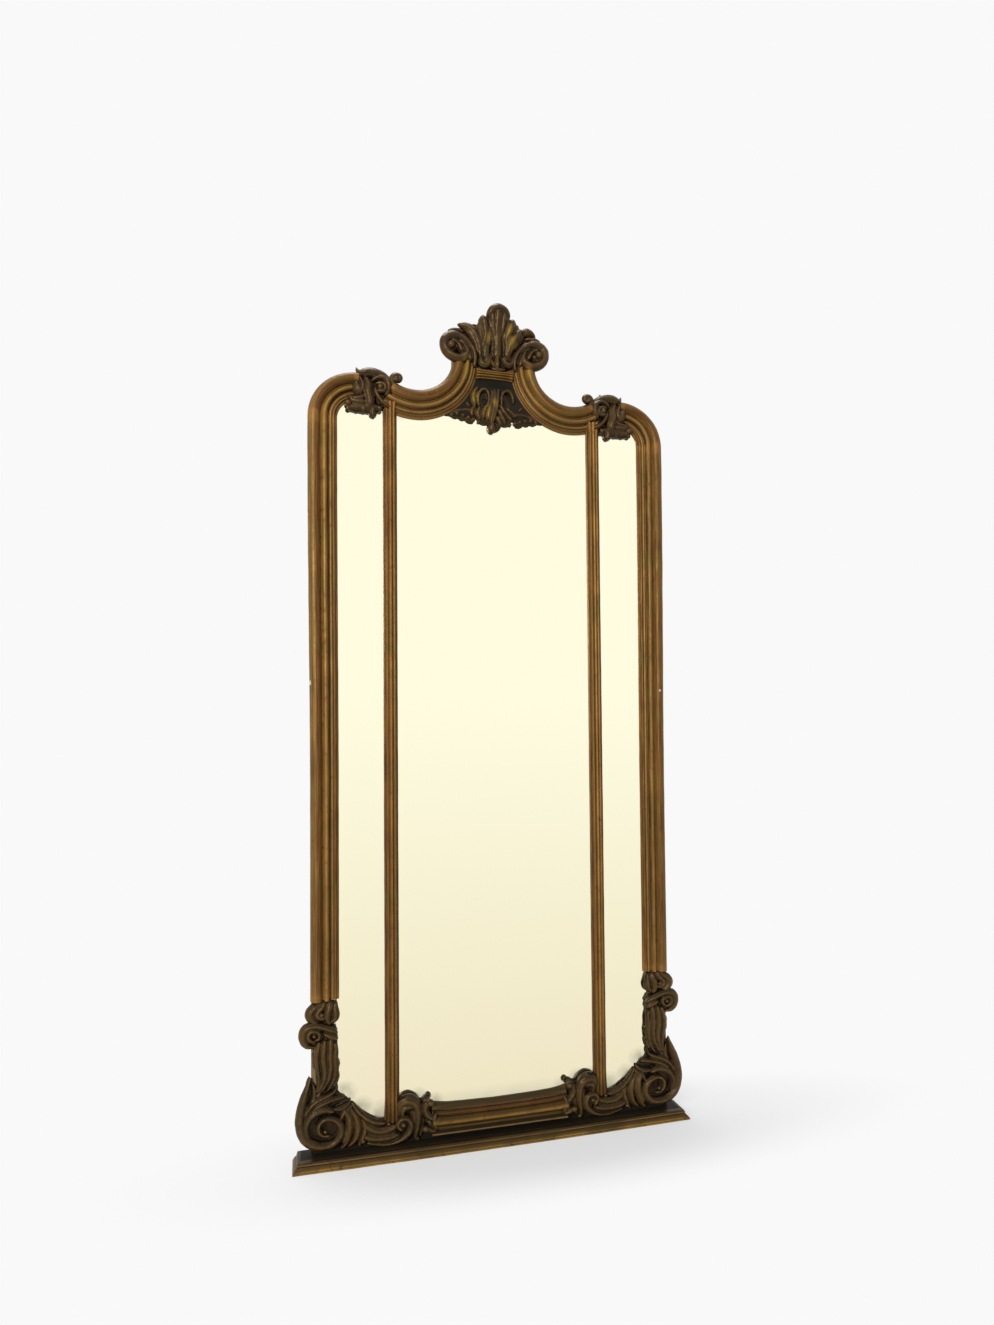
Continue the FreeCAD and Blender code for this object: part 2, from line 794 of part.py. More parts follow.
bar_foot = scroll_z - s.bar_drop
bar_half = s.scroll_x - s.scroll_radius
bar = new_body("Bar_stock", z=bar_foot)
nodes.remove(bar)
sketch = new_sketch(bar, "Section_bar", "YZ_Plane", -bar_half)
third = s.bar_height / 3
front = s.carcase_depth + s.panel_thickness
draw(
    sketch,
    [
        (-front, 0),
        (-(front + 6), 0),
        (-(front + 6), third, -3),
        (-(front + 6), third * 2, -5),
        (-(front + 6), s.bar_height, -3),
        (-front, s.bar_height),
    ],
)
pad(bar, sketch, bar_half * 2)
arches = []
for label, side in SIDES.items():
    arch = doc.addObject("Part::Cylinder", "Bar_arch_" + label)
    bind(arch, "Radius", scroll_sight)
    bind(arch, "Height", s.carcase_depth * 3)
    arch.Placement.Rotation = FreeCAD.Rotation(FreeCAD.Vector(1, 0, 0), 90)
    bind(arch, "Placement.Base.x", s.scroll_x * side)
    bind(arch, "Placement.Base.y", back)
    bind(arch, "Placement.Base.z", scroll_z)
    arches.append(arch)
both = doc.addObject("Part::MultiFuse", "Bar_arches")
both.Shapes = arches
crest_bar = doc.addObject("Part::Cut", "Crest_bar")
crest_bar.Base = bar
crest_bar.Tool = both
keep(crest_bar, "crest_bar")

# The tympanum panel fills between the two scrolls below the crest.
panel_foot = scroll_z - s.fringe_drop
panel_top = scroll_z - s.bar_drop + s.bar_height
top_rise = panel_top - scroll_z
foot_run = root_of(scroll_sight * scroll_sight - s.fringe_drop * s.fringe_drop)
top_run = root_of(scroll_sight * scroll_sight - top_rise * top_rise)
chord_x = top_run - foot_run
chord_z = panel_top - panel_foot
chord = chord_x * chord_x + chord_z * chord_z
arc_depth = scroll_sight - root_of(scroll_sight * scroll_sight - chord / 4)
plate(
    "tympanum_panel", 1, s.carcase_depth, s.panel_thickness,
    [
        (s.scroll_x - foot_run, panel_foot),
        (s.scroll_x - top_run, panel_top, -arc_depth),
        (-(s.scroll_x - top_run), panel_top),
        (-(s.scroll_x - foot_run), panel_foot, -arc_depth),
    ],
)

front = s.carcase_depth + s.panel_thickness
pendant_foot = scroll_z - s.pendant_drop
body = plate(
    "pendant_palmette", 1, front, s.carving_rise - 9,
    [
        (-9, pendant_foot + 3, 3),
        (9, pendant_foot + 3, 3),
        (17, pendant_foot + 19, 3),
        (44, pendant_foot + 24, 5),
        (40, pendant_foot + 84, 4),
        (14, pendant_foot + 100, 9),
        (-14, pendant_foot + 100),
        (-40, pendant_foot + 84, 9),
        (-44, pendant_foot + 24, 4),
        (-17, pendant_foot + 19, 5),
    ],
)
sketch = new_sketch(body, "Eyes", "XZ_Plane", front + 4)
for side in SIDES.values():
    draw_circle(sketch, size(25 * side), pendant_foot + 76, size(8))
pocket(body, sketch, s.carving_rise, "Eye_hollows", reverse=True)

fringe_start = 47
fringe_run = s.scroll_x - foot_run - fringe_start
for label, side in SIDES.items():
    plate(
        "fringe_" + label, side, front, s.carving_rise * 0.4,
        [
            (fringe_start, pendant_foot + 20),
            (fringe_run * 0.32 + fringe_start, panel_foot - 8, 5),
            (fringe_run * 0.58 + fringe_start, panel_foot - 5, 4),
            (fringe_run * 0.83 + fringe_start, panel_foot - 1, 4),
            (fringe_run * 0.63 + fringe_start, panel_foot + 10),
            (fringe_start, panel_foot + 20, -4),
        ],
    )

# The crest palmette: a base between the ears and a leaf that leans forward.
base_half = ear_inner[0] - 2
base_top = scroll_z + 70
leaf_foot = scroll_z + 20
leaf_half = ear_inner[0] - 8
body = plate(
    "crest_palmette", 1, s.carcase_depth, s.carving_rise,
    [
        (-base_half, panel_top),
        (base_half, panel_top),
        (base_half, base_top),
        (-base_half, base_top),
    ],
)
sketch = body.newObject("Sketcher::SketchObject", "Leaf_outline")
sketch.AttachmentSupport = [(own_plane(body, "XZ_Plane"), "")]
sketch.MapMode = "FlatFace"
sketch.AttachmentOffset = FreeCAD.Placement(
    FreeCAD.Vector(0, 0, 0), FreeCAD.Rotation(FreeCAD.Vector(1, 0, 0), 1)
)
bind(sketch, "AttachmentOffset.Base.y", leaf_foot)
bind(sketch, "AttachmentOffset.Base.z", s.carcase_depth + s.carving_rise * 0.4)
bind(sketch, "AttachmentOffset.Rotation.Angle", s.crest_lean)
leaf_high = (s.crest_top - 20) / cos_of(s.crest_lean) - s.crest_thickness * sin_of(s.crest_lean)
draw(
    sketch,
    [
        (-leaf_half, 0),
        (leaf_half, 0),
        (leaf_half + 3, 60),
        (74, 62, -2),
        (46, 74, 5),
        (36, leaf_high - 34),
        (20, leaf_high - 14, 6),
        (-20, leaf_high - 14, 14),
        (-36, leaf_high - 34, 6),
        (-46, 74),
        (-74, 62, 5),
        (-(leaf_half + 3), 60, -2),
    ],
)
pad(body, sketch, s.crest_thickness, "Leaf")

# ---- hangers and screws ---------------------------------------------------------------------

nearly = 0.99  # a whole half circle would leave its middle free to jump sides
for label, side in SIDES.items():
    body = new_body("hanger_plate_" + label, x=hanger_x * side, z=hanger_z)
    sketch = new_sketch(body, "Side_" + label, "YZ_Plane", -(s.hanger_width / 2))
    bore = s.ring_wire + s.ring_play
    roll = bore + s.hanger_plate
    draw(
        sketch,
        [
            (0, -s.hanger_length),
            (s.hanger_plate, -s.hanger_length),
            (s.hanger_plate, -roll),
            (s.ring_stand, -roll),
            (s.ring_stand, roll, roll * nearly),
            (0, roll),
        ],
    )
    pad(body, sketch, s.hanger_width)
    sketch = new_sketch(body, "Bore_" + label, "YZ_Plane", -(s.hanger_width / 2) - 1)
    draw_circle(sketch, s.ring_stand, size(0), bore)
    pocket(body, sketch, s.hanger_width + 2, "Bore", reverse=True)
    sketch = new_sketch(body, "Plate_holes_" + label, "XZ_Plane", -(s.hanger_plate + 1))
    for drop in hanger_screw_drops:
        draw_circle(sketch, size(0), -drop, hole_radius)
    pocket(body, sketch, s.hanger_plate + 2, "Plate_holes", reverse=True)

    body = new_body("hanger_ring_" + label, x=hanger_x * side, y=back + s.ring_stand, z=hanger_z)
    bend = s.ring_wire * 2
    path = draw(
        new_sketch(body, "Ring_line_" + label, "XZ_Plane"),
        [
            (-(s.ring_half - bend), 0),
            (-s.ring_half, -bend, bend * quarter_bulge),
            (-s.ring_half, -s.ring_leg),
            (s.ring_half, -s.ring_leg, s.ring_half * nearly),
            (s.ring_half, -bend),
            (s.ring_half - bend, 0, bend * quarter_bulge),
        ],
    )
    wire = new_sketch(body, "Ring_wire_" + label, "YZ_Plane")
    draw_circle(wire, size(0), size(0), s.ring_wire)
    feature = body.newObject("PartDesign::AdditivePipe", "Ring")
    feature.Profile = wire
    feature.Spine = path


def screws(name, places, head_depth):
    """Round-headed wood screws driven forwards from the back: one solid each."""
    shanks = []
    for index, (x, z) in enumerate(places):
        shank = doc.addObject("Part::Cylinder", f"{name}_shank_{index}")
        dome = doc.addObject("Part::Cone", f"{name}_dome_{index}")
        bind(shank, "Radius", s.screw_radius)
        bind(shank, "Height", s.screw_length - 1)
        bind(dome, "Radius1", s.screw_head)
        bind(dome, "Radius2", s.screw_head * 0.55)
        bind(dome, "Height", s.screw_radius)
        dome.Placement.Rotation = FreeCAD.Rotation(FreeCAD.Vector(1, 0, 0), -90)
        shank.Placement.Rotation = FreeCAD.Rotation(FreeCAD.Vector(1, 0, 0), 90)
        for solid in (shank, dome):
            bind(solid, "Placement.Base.x", x)
            bind(solid, "Placement.Base.y", back - head_depth)
            bind(solid, "Placement.Base.z", z)
        screw = doc.addObject("Part::MultiFuse", f"{name}_screw_{index}")
        screw.Shapes = [shank, dome]
        shanks.append(screw)
    group = doc.addObject("Part::Compound", name)
    group.Links = shanks
    keep(group, name)


batten_places = [
    (lap_screw_x * side, foot + s.batten_height * share)
    for foot in batten_feet.values()
    for side in SIDES.values()
    for share in screw_rows
]
screws("batten_screws", batten_places, size(0))
hanger_places = [
    (hanger_x * side, hanger_z - drop) for side in SIDES.values() for drop in hanger_screw_drops
]
screws("hanger_screws", hanger_places, -s.hanger_plate)

# ---- checks and files -----------------------------------------------------------------------

doc.recompute()
for thing in doc.Objects:
    if "Invalid" in thing.State or "Error" in thing.State:
        raise ValueError(f"{thing.Label} is {thing.State}")
for node in nodes:
    shape = node.Shape
    if shape.isNull() or not shape.isValid():
        raise ValueError(f"{node.Label} has no valid shape")
    shape.exportStep(f"parts/{node.Label}.step")
    box = shape.BoundBox
    print(
        f"{node.Label:26s} solids {len(shape.Solids):2d}  volume {shape.Volume / 1000:9.1f} cm3"
        f"  x {box.XMin:7.1f} {box.XMax:7.1f}  y {box.YMin:6.1f} {box.YMax:6.1f}"
        f"  z {box.ZMin:7.1f} {box.ZMax:7.1f}"
    )
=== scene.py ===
# %% [markdown]
# A standing pier mirror: a carved, gilded and brown-toned frame round three old panes.
# The construction model gives every size and place. This notebook builds the looks around it:
# run mouldings, carved ornaments, gilding, old silvered glass, bare pine behind.

# %% Load the frame
import json
import math
import bpy
import numpy as np
from mathutils import Matrix, Vector


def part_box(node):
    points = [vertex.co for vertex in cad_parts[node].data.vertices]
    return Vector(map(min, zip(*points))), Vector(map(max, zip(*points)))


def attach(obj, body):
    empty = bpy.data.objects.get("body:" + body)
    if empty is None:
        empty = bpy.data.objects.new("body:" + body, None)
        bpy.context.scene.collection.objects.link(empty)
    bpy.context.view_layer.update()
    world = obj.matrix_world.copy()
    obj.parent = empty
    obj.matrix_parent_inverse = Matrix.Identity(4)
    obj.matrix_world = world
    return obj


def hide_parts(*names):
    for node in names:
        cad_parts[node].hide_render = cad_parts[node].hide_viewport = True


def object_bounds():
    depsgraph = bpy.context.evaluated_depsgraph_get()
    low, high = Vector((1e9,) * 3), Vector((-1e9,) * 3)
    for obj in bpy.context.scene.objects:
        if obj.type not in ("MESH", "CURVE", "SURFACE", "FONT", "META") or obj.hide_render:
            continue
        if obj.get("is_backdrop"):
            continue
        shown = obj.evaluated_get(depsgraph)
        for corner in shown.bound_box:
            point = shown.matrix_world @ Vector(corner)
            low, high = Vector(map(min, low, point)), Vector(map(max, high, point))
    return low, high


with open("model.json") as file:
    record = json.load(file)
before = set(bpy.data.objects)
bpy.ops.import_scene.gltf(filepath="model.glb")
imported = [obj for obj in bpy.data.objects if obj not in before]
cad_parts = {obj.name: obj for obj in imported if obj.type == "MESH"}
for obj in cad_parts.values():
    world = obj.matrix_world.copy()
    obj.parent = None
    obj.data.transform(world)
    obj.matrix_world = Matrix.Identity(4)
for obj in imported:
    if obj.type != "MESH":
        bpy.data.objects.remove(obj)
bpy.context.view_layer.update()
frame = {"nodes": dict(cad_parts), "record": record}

# %% [markdown]
# Places that many pieces share. X runs to the viewer's right, Y away from the viewer, Z up.
# Every applied moulding and carving is glued to one plane, the carcase face, which is also the
# front of the glass. "Rise" and "lift" say how far something stands in front of that plane.

# %% Shared places
MM = 0.001
FACE_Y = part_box("glass_centre")[0].y
FRAME_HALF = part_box("stile_moulding_right")[1].x
print("carcase face at y", round(FACE_Y, 4), "half width", round(FRAME_HALF, 4))

# %% [markdown]
# The camera stands a little to the left of the mirror at chest height, and close, so that the
# left side looks taller than the right. A close camera with a slightly raised lens (shift) keeps
# the uprights upright, as in a product photograph. An operator acts on all that is selected, so
# each object is added with nothing else selected.

# %% Camera
CAMERA_PLACE = Vector((-0.44431, -1.69233, 0.89395))
CAMERA_TURN, CAMERA_LIFT, CAMERA_ROLL = (math.radians(a) for a in (-14.47, -1.8, -0.46))
FOCAL_PIXELS, PHOTO_LONG_SIDE, SENSOR = 760, 1325, 36
LENS_SHIFT = (0.0022, 0.0434)


def add(operator, **settings):
    """Runs an operator that adds an object, with nothing else selected, and returns the object."""
    bpy.ops.object.select_all(action="DESELECT")
    operator(**settings)
    return bpy.context.object


def aim(turn, lift, roll):
    """The camera's rotation, from its compass turn, its height angle and its roll."""
    level = math.cos(lift)
    back = Vector((math.sin(turn) * level, -math.cos(turn) * level, math.sin(lift)))
    right = (-back).cross(Vector((0, 0, 1))).normalized()
    up = right.cross(-back)
    level_right = math.cos(roll) * right + math.sin(roll) * up
    level_up = -math.sin(roll) * right + math.cos(roll) * up
    return Matrix((level_right, level_up, back)).transposed().to_euler()


camera = add(bpy.ops.object.camera_add, location=CAMERA_PLACE,
             rotation=aim(CAMERA_TURN, CAMERA_LIFT, CAMERA_ROLL))
camera.data.sensor_width = SENSOR
camera.data.lens = SENSOR * FOCAL_PIXELS / PHOTO_LONG_SIDE
camera.data.shift_x, camera.data.shift_y = LENS_SHIFT
bpy.context.scene.camera = camera
print("lens", round(camera.data.lens, 2), "mm")

# %% [markdown]
# A material is a tree of nodes. Each tool here adds one node and wires it at once: an input that
# is given another node's output is linked to it, and a plain value is set on the input itself.

# %% Tools for materials
def new_material(name):
    """A node material, its tree and its Principled shader."""
    material = bpy.data.materials.new(name)
    material.use_nodes = True
    return material, material.node_tree, material.node_tree.nodes["Principled BSDF"]


def feed(tree, target, inputs):
    for key, value in inputs.items():
        if isinstance(value, bpy.types.NodeSocket):
            tree.links.new(value, target.inputs[key])
        else:
            target.inputs[key].default_value = value
    return target


def node(tree, kind, inputs, **settings):
    made = tree.nodes.new(kind)
    for key, value in settings.items():
        setattr(made, key, value)
    return feed(tree, made, inputs)


def math_node(tree, operation, first, second=0.0, clamp=False):
    return node(tree, "ShaderNodeMath", {0: first, 1: second},
                operation=operation, use_clamp=clamp).outputs[0]


def vector_math(tree, operation, first, second):
    return node(tree, "ShaderNodeVectorMath", {0: first, 1: second}, operation=operation).outputs


def stretch(tree, vector, scale):
    return vector_math(tree, "MULTIPLY", vector, scale)["Vector"]


def distance(tree, place, centre):
    return vector_math(tree, "DISTANCE", place, centre)["Value"]


def remap(tree, value, low, high, to_low=0.0, to_high=1.0, curve="LINEAR"):
    """Carries the range low to high over to another one, and holds at both ends."""
    return node(tree, "ShaderNodeMapRange", {
        "Value": value, "From Min": low, "From Max": high, "To Min": to_low, "To Max": to_high},
        interpolation_type=curve).outputs["Result"]


def object_place(tree):
    return node(tree, "ShaderNodeTexCoord", {}).outputs["Object"]

# %% [markdown]
# The studio: a pale floor that keeps the soft shadow, a white world, and two large soft lamps.
# The camera and the mirror see the world as plain white. The light itself stays at a plain level,
# so that a colour renders about as it is written. Round the mirror the floor glows less and takes
# more shadow, in a wide oval that fades out.

# %% Floor, world and lamps
WHITE = (0.947, 0.947, 0.947, 1)
WORLD_LIGHT = 0.46
FLOOR_GLOW, FLOOR_SHADE = 0.50, 0.385
SHADE_MIDDLE, SHADE_SQUEEZE, SHADE_NEAR, SHADE_FAR = (0.12, -0.08, 0), 4.0, 0.38, 1.05


def sees_white(tree):
    """One where the ray comes from the camera, full white from a mirror or glass, else zero."""
    path = node(tree, "ShaderNodeLightPath", {}).outputs
    shiny = math_node(tree, "MAXIMUM", path["Is Glossy Ray"], path["Is Transmission Ray"])
    clear = math_node(tree, "MAXIMUM", path["Is Camera Ray"],
                      math_node(tree, "MULTIPLY", shiny, 1 / WHITE[0]))
    direct = math_node(tree, "LESS_THAN", path["Diffuse Depth"], 0.5)
    return math_node(tree, "MULTIPLY", clear, direct)


floor = add(bpy.ops.mesh.primitive_plane_add, size=40)
floor.name = "studio_floor"
floor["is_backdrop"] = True
material, tree, shader = new_material("studio_floor_white")
away = distance(tree, stretch(tree, object_place(tree), (1, SHADE_SQUEEZE, 1)), SHADE_MIDDLE)
far = remap(tree, away, SHADE_NEAR, SHADE_FAR, FLOOR_GLOW, 1.0, "SMOOTHSTEP")
glow = node(tree, "ShaderNodeEmission", {
    "Color": WHITE, "Strength": math_node(tree, "MULTIPLY", sees_white(tree), far)})
feed(tree, shader, {"Base Color": remap(tree, far, FLOOR_GLOW, 1.0, FLOOR_SHADE, 0.0),
                    "Roughness": 0.9, "Specular IOR Level": 0.0})
both = node(tree, "ShaderNodeAddShader", {0: shader.outputs[0], 1: glow.outputs[0]})
feed(tree, tree.nodes["Material Output"], {"Surface": both.outputs[0]})
floor.data.materials.append(material)

world = bpy.data.worlds.new("white_studio")
bpy.context.scene.world = world
world.use_nodes = True
tree = world.node_tree
clear = sees_white(tree)
lit = feed(tree, tree.nodes["Background"], {"Color": (1, 1, 1, 1), "Strength": WORLD_LIGHT})
seen = node(tree, "ShaderNodeBackground", {"Color": WHITE, "Strength": clear})
choose = node(tree, "ShaderNodeMixShader", {0: clear, 1: lit.outputs[0], 2: seen.outputs[0]})
feed(tree, tree.nodes["World Output"], {"Surface": choose.outputs[0]})


def soft_lamp(name, place, target, size, power):
    lamp = add(bpy.ops.object.light_add, type="AREA", location=place)
    lamp.name, lamp.data.size, lamp.data.energy = name, size, power
    lamp.rotation_euler = (Vector(target) - Vector(place)).to_track_quat("-Z", "Y").to_euler()


soft_lamp("key_lamp", (-2.2, -3.0, 1.9), (0, 0, 1.0), size=1.4, power=88)
soft_lamp("top_lamp", (-1.1, 1.1, 10.0), (0, 0, 0), size=4.0, power=430)
bpy.context.scene.view_settings.view_transform = "Standard"
print("floor, world and lamps are in place")

# %% [markdown]
# Small helpers that every piece uses: pick one object, apply a modifier at once, run edit-mode
# steps, and make the left-hand twin of a right-hand piece.

# %% Helpers for shaping
def pick(piece):
    bpy.ops.object.select_all(action="DESELECT")
    piece.select_set(True)
    bpy.context.view_layer.objects.active = piece


def apply_modifier(piece, kind, **settings):
    pick(piece)
    made = piece.modifiers.new(kind.lower(), kind)
    for key, value in settings.items():
        setattr(made, key, value)
    bpy.ops.object.modifier_apply(modifier=made.name)


def edit_all(piece, *steps):
    """Runs edit-mode steps on the whole mesh of a piece."""
    pick(piece)
    bpy.ops.object.mode_set(mode="EDIT")
    bpy.ops.mesh.select_all(action="SELECT")
    for step in steps:
        step()
    bpy.ops.object.mode_set(mode="OBJECT")
    return piece


def outward():
    bpy.ops.mesh.normals_make_consistent(inside=False)


def mirrored_copy(piece):
    """A left-hand copy with its own mesh, turned the right way out again."""
    twin = piece.copy()
    twin.data = piece.data.copy()
    bpy.context.collection.objects.link(twin)
    for vertex in twin.data.vertices:
        vertex.co.x = -vertex.co.x
    return edit_all(twin, outward)

# %% [markdown]
# Wear follows the relief: gold is rubbed off ridges, and dirt stays in hollows. The same marks
# also carry a painted highlight on ridges and painted shade in hollows. So each mesh carries two
# attributes, "ridge" and "hollow". Where a smoothed copy of the surface lies above the surface
# itself, the place is hollow, and where it lies below, it is a ridge.

# %% Relief attributes
def coordinates(mesh):
    flat = np.empty(len(mesh.vertices) * 3)
    mesh.vertices.foreach_get("co", flat)
    return flat.reshape(-1, 3)


def write_attribute(mesh, name, values):
    kind = "FLOAT" if values.ndim == 1 else "FLOAT_VECTOR"
    made = mesh.attributes.get(name) or mesh.attributes.new(name, kind, "POINT")
    field = "value" if kind == "FLOAT" else "vector"
    made.data.foreach_set(field, values.astype(np.float32).ravel())


def mark_relief(mesh, spread, gain):
    """Writes both attributes, and returns the shares that are clearly hollow and ridged."""
    places, count = coordinates(mesh), len(mesh.vertices)
    flat = np.empty(count * 3)
    mesh.vertex_normals.foreach_get("vector", flat)
    normals = flat.reshape(-1, 3)
    ends = np.empty(len(mesh.edges) * 2, dtype=np.int64)
    mesh.edges.foreach_get("vertices", ends)
    a, b = ends[0::2], ends[1::2]
    degree = np.maximum(np.bincount(a, minlength=count) + np.bincount(b, minlength=count), 1)

    def blurred(values):
        """Each value halfway to the mean of its neighbours."""
        total = np.stack([np.bincount(a, values[b, k], count) + np.bincount(b, values[a, k], count)
                          for k in range(values.shape[1])], axis=1)
        return 0.5 * values + 0.5 * total / degree[:, None]

    smooth = places
    for _ in range(spread):
        smooth = blurred(smooth)
    relief = np.einsum("ij,ij->i", smooth - places, normals)[:, None] * gain
    relief = np.clip(blurred(blurred(relief))[:, 0], -1, 1)
    write_attribute(mesh, "hollow", np.maximum(relief, 0))
    write_attribute(mesh, "ridge", np.maximum(-relief, 0))
    return round(float((relief > 0.3).mean()), 2), round(float((relief < -0.3).mean()), 2)

# %% [markdown]
# A piece ends by taking its place in the model: its name, taken from the CAD node that it stands
# for, and its body, while that CAD node is hidden. Its finish is made further down, so until then
# the piece waits in a list.

# %% Completing a piece
FINISHES = {}
WAITING = []
CREASE = math.radians(50)


def complete(piece, cad_node, kind, finish):
    """The kind is "run" for a moulding, which keeps its sharp creases, or "carved"."""
    piece.name = piece.data.name = f"{cad_node}_{kind}"
    pick(piece)
    if kind == "run":
        bpy.ops.object.shade_smooth_by_angle(angle=CREASE)
    else:
        bpy.ops.object.shade_smooth()
    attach(piece, "frame")
    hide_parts(cad_node)
    WAITING.append((piece, finish))
    triangles = sum(len(face.vertices) - 2 for face in piece.data.polygons)
    print(f"{piece.name}: {triangles} triangles")

# %% [markdown]
# The mouldings. On the real mirror long strips were run with a shaped plane, and curved ones
# were turned or carved to the same section. Here the section is drawn as a ring of points, which
# is then extruded along a straight piece or spun round a centre for a curved one.

# %% Sections
def smooth_section(corners, steps=5):
    """A dense outline through (across, rise) corners; a corner marked sharp keeps its crease."""
    points = []
    count = len(corners)
    for i in range(count - 1):
        p1, p2 = corners[i], corners[i + 1]
        p0 = corners[i - 1] if i > 0 and not p1[2:] else p1
        p3 = corners[i + 2] if i + 2 < count and not p2[2:] else p2
        for step in range(steps):
            t = step / steps
            points.append(tuple(
                0.5 * (2 * p1[k] + (p2[k] - p0[k]) * t
                       + (2 * p0[k] - 5 * p1[k] + 4 * p2[k] - p3[k]) * t * t
                       + (3 * p1[k] - p0[k] - 3 * p2[k] + p3[k]) * t ** 3) for k in (0, 1)))
    points.append(corners[-1][:2])
    return points


# Across runs from the outer edge (0) to the sight edge (1); "s" marks a sharp crease.
WIDE_SECTION = smooth_section([
    (0, 0, "s"), (0, 0.16, "s"), (0.035, 0.55), (0.12, 0.88), (0.235, 1.0), (0.335, 0.88),
    (0.405, 0.60), (0.435, 0.40, "s"), (0.452, 0.40, "s"), (0.475, 0.55), (0.535, 0.74),
    (0.60, 0.74), (0.655, 0.58), (0.695, 0.30, "s"), (0.712, 0.26, "s"), (0.735, 0.37),
    (0.775, 0.42), (0.812, 0.34), (0.828, 0.25, "s"), (0.845, 0.31), (0.880, 0.36),
    (0.915, 0.28), (0.93, 0.17, "s"), (1, 0.10, "s"), (1, 0, "s")])
NARROW_SECTION = smooth_section([
    (0, 0, "s"), (0, 0.30, "s"), (0.05, 0.36), (0.09, 0.36, "s"), (0.12, 0.50), (0.20, 0.86),
    (0.30, 0.84), (0.365, 0.62, "s"), (0.385, 0.62, "s"), (0.43, 0.92), (0.50, 1.0),
    (0.57, 0.92), (0.615, 0.62, "s"), (0.635, 0.62, "s"), (0.70, 0.84), (0.80, 0.86),
    (0.88, 0.50), (0.91, 0.36, "s"), (0.95, 0.36), (1, 0.30, "s"), (1, 0, "s")])
print(len(WIDE_SECTION), "and", len(NARROW_SECTION), "points in the sections")

# %% [markdown]
# A ring starts as Blender's circle, with its points moved onto the section. The extruded or spun
# tube is closed at both ends. A little waviness from old handwork is added afterwards with a
# displace modifier. A third attribute, "run", says how far along and how far across each point
# lies, so that a finish can follow the moulding round a curve.

# %% Running a moulding
def ring(name, places):
    piece = add(bpy.ops.mesh.primitive_circle_add, vertices=len(places), fill_type="NOTHING")
    piece.name = name
    for vertex, place in zip(piece.data.vertices, places):
        vertex.co = place
    return piece


def close_ends():
    bpy.ops.mesh.select_all(action="SELECT")
    bpy.ops.mesh.fill_holes(sides=0)
    outward()


def straight_run(name, places, travel, steps):
    """Extrudes a section in equal steps, so that the wavy surface has points to move."""
    step = tuple(v / steps for v in travel)
    return edit_all(ring(name, places), lambda: bpy.ops.mesh.extrude_repeat(
        steps=steps, offset=step, scale_offset=1.0), close_ends)


def curved_run(name, places, centre, angle, steps):
    """Spins a section about a level axis that points at the viewer."""
    return edit_all(ring(name, places), lambda: bpy.ops.mesh.spin(
        steps=steps, angle=angle, center=centre, axis=(0, 1, 0)), close_ends)


def wavy(piece, height, size):
    """Old handwork: a slow, shallow wave over the whole surface."""
    clouds = bpy.data.textures.new(f"{piece.name}_wave", "CLOUDS")
    clouds.noise_scale, clouds.noise_depth = size, 1
    apply_modifier(piece, "DISPLACE", texture=clouds, strength=height, mid_level=0.5,
                   texture_coords="LOCAL")


def write_run(piece, place_of):
    write_attribute(piece.data, "run", np.array([place_of(p) for p in coordinates(piece.data)]))

# %% [markdown]
# The two uprights. Their section is a fat outer torus, a groove, a smaller torus, and two fine
# reeds next to the glass. The right-hand one is run first, and the left is its mirrored copy.
# The shoulder is the same section, spun a quarter turn. Old frames open out a little towards the
# shoulders, most at the outer edge.

# %% Upright and shoulder mouldings
MOULDING_WIDTH, MOULDING_RISE = 61 * MM, 20 * MM
SHOULDER_RADIUS = 105 * MM
WAVE = dict(height=0.9 * MM, size=0.05)
UPRIGHT_STEPS, SHOULDER_STEPS = 110, 22
SPREAD, SPREAD_LOW, SPREAD_HIGH = 5.5 * MM, 0.75, 1.55


def wide_places(height):
    """The wide section's points at the frame's right-hand edge, at one height."""
    return [(FRAME_HALF - u * MOULDING_WIDTH, FACE_Y - w * MOULDING_RISE, height)
            for u, w in WIDE_SECTION]


def spread(piece):
    for vertex in piece.data.vertices:
        rise = min(1, max(0, (vertex.co.z - SPREAD_LOW) / (SPREAD_HIGH - SPREAD_LOW)))
        outward_share = min(1, max(0, 1 - (FRAME_HALF - vertex.co.x) / SHOULDER_RADIUS))
        vertex.co.x += SPREAD * outward_share * rise * rise * (3 - 2 * rise)


def polar(centre, radius, outside_in, offset):
    """Along and across for a moulding that turns round a centre, from its outer edge or inner."""
    def place_of(p):
        dx, dz = p[0] - centre.x, p[2] - centre.z
        across = (math.hypot(dx, dz) - radius) / MOULDING_WIDTH
        along = offset + math.atan2(dz, dx) % (2 * math.pi) * radius
        return along, -across if outside_in else across, 0
    return place_of


stile_low, stile_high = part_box("stile_moulding_right")
stile = straight_run("stile_right", wide_places(stile_low.z),
                     (0, 0, stile_high.z - stile_low.z), UPRIGHT_STEPS)
write_run(stile, lambda p: (p[2], (FRAME_HALF - p[0]) / MOULDING_WIDTH, 0))
shoulder_centre = Vector((FRAME_HALF - SHOULDER_RADIUS, 0, stile_high.z))
shoulder = curved_run("shoulder_right", wide_places(stile_high.z), shoulder_centre,
                      math.pi / 2, SHOULDER_STEPS)
write_run(shoulder, polar(shoulder_centre, SHOULDER_RADIUS, True, stile_high.z))
for piece in (stile, shoulder):
    wavy(piece, **WAVE)
    spread(piece)
print("shoulder from", [round(min(c), 3) for c in coordinates(shoulder.data).T])

# %% [markdown]
# The arch is two C-scrolls of the same section, with the fat torus on the upper, hollow side.
# Each starts under a shoulder clasp, dips, and climbs to the crest. The torus swells in the dip.

# %% Scrolls of the arch
SCROLL_CENTRE = Vector((187 * MM, 0, 1783 * MM))
SCROLL_INNER, SWELL = 88 * MM, 6 * MM
SCROLL_START, SCROLL_END, SCROLL_STEPS = math.radians(-58), math.radians(-184), 40
SCROLL_RUN = 3.0  # the grain starts this far along, so that it doesn't repeat the stile's


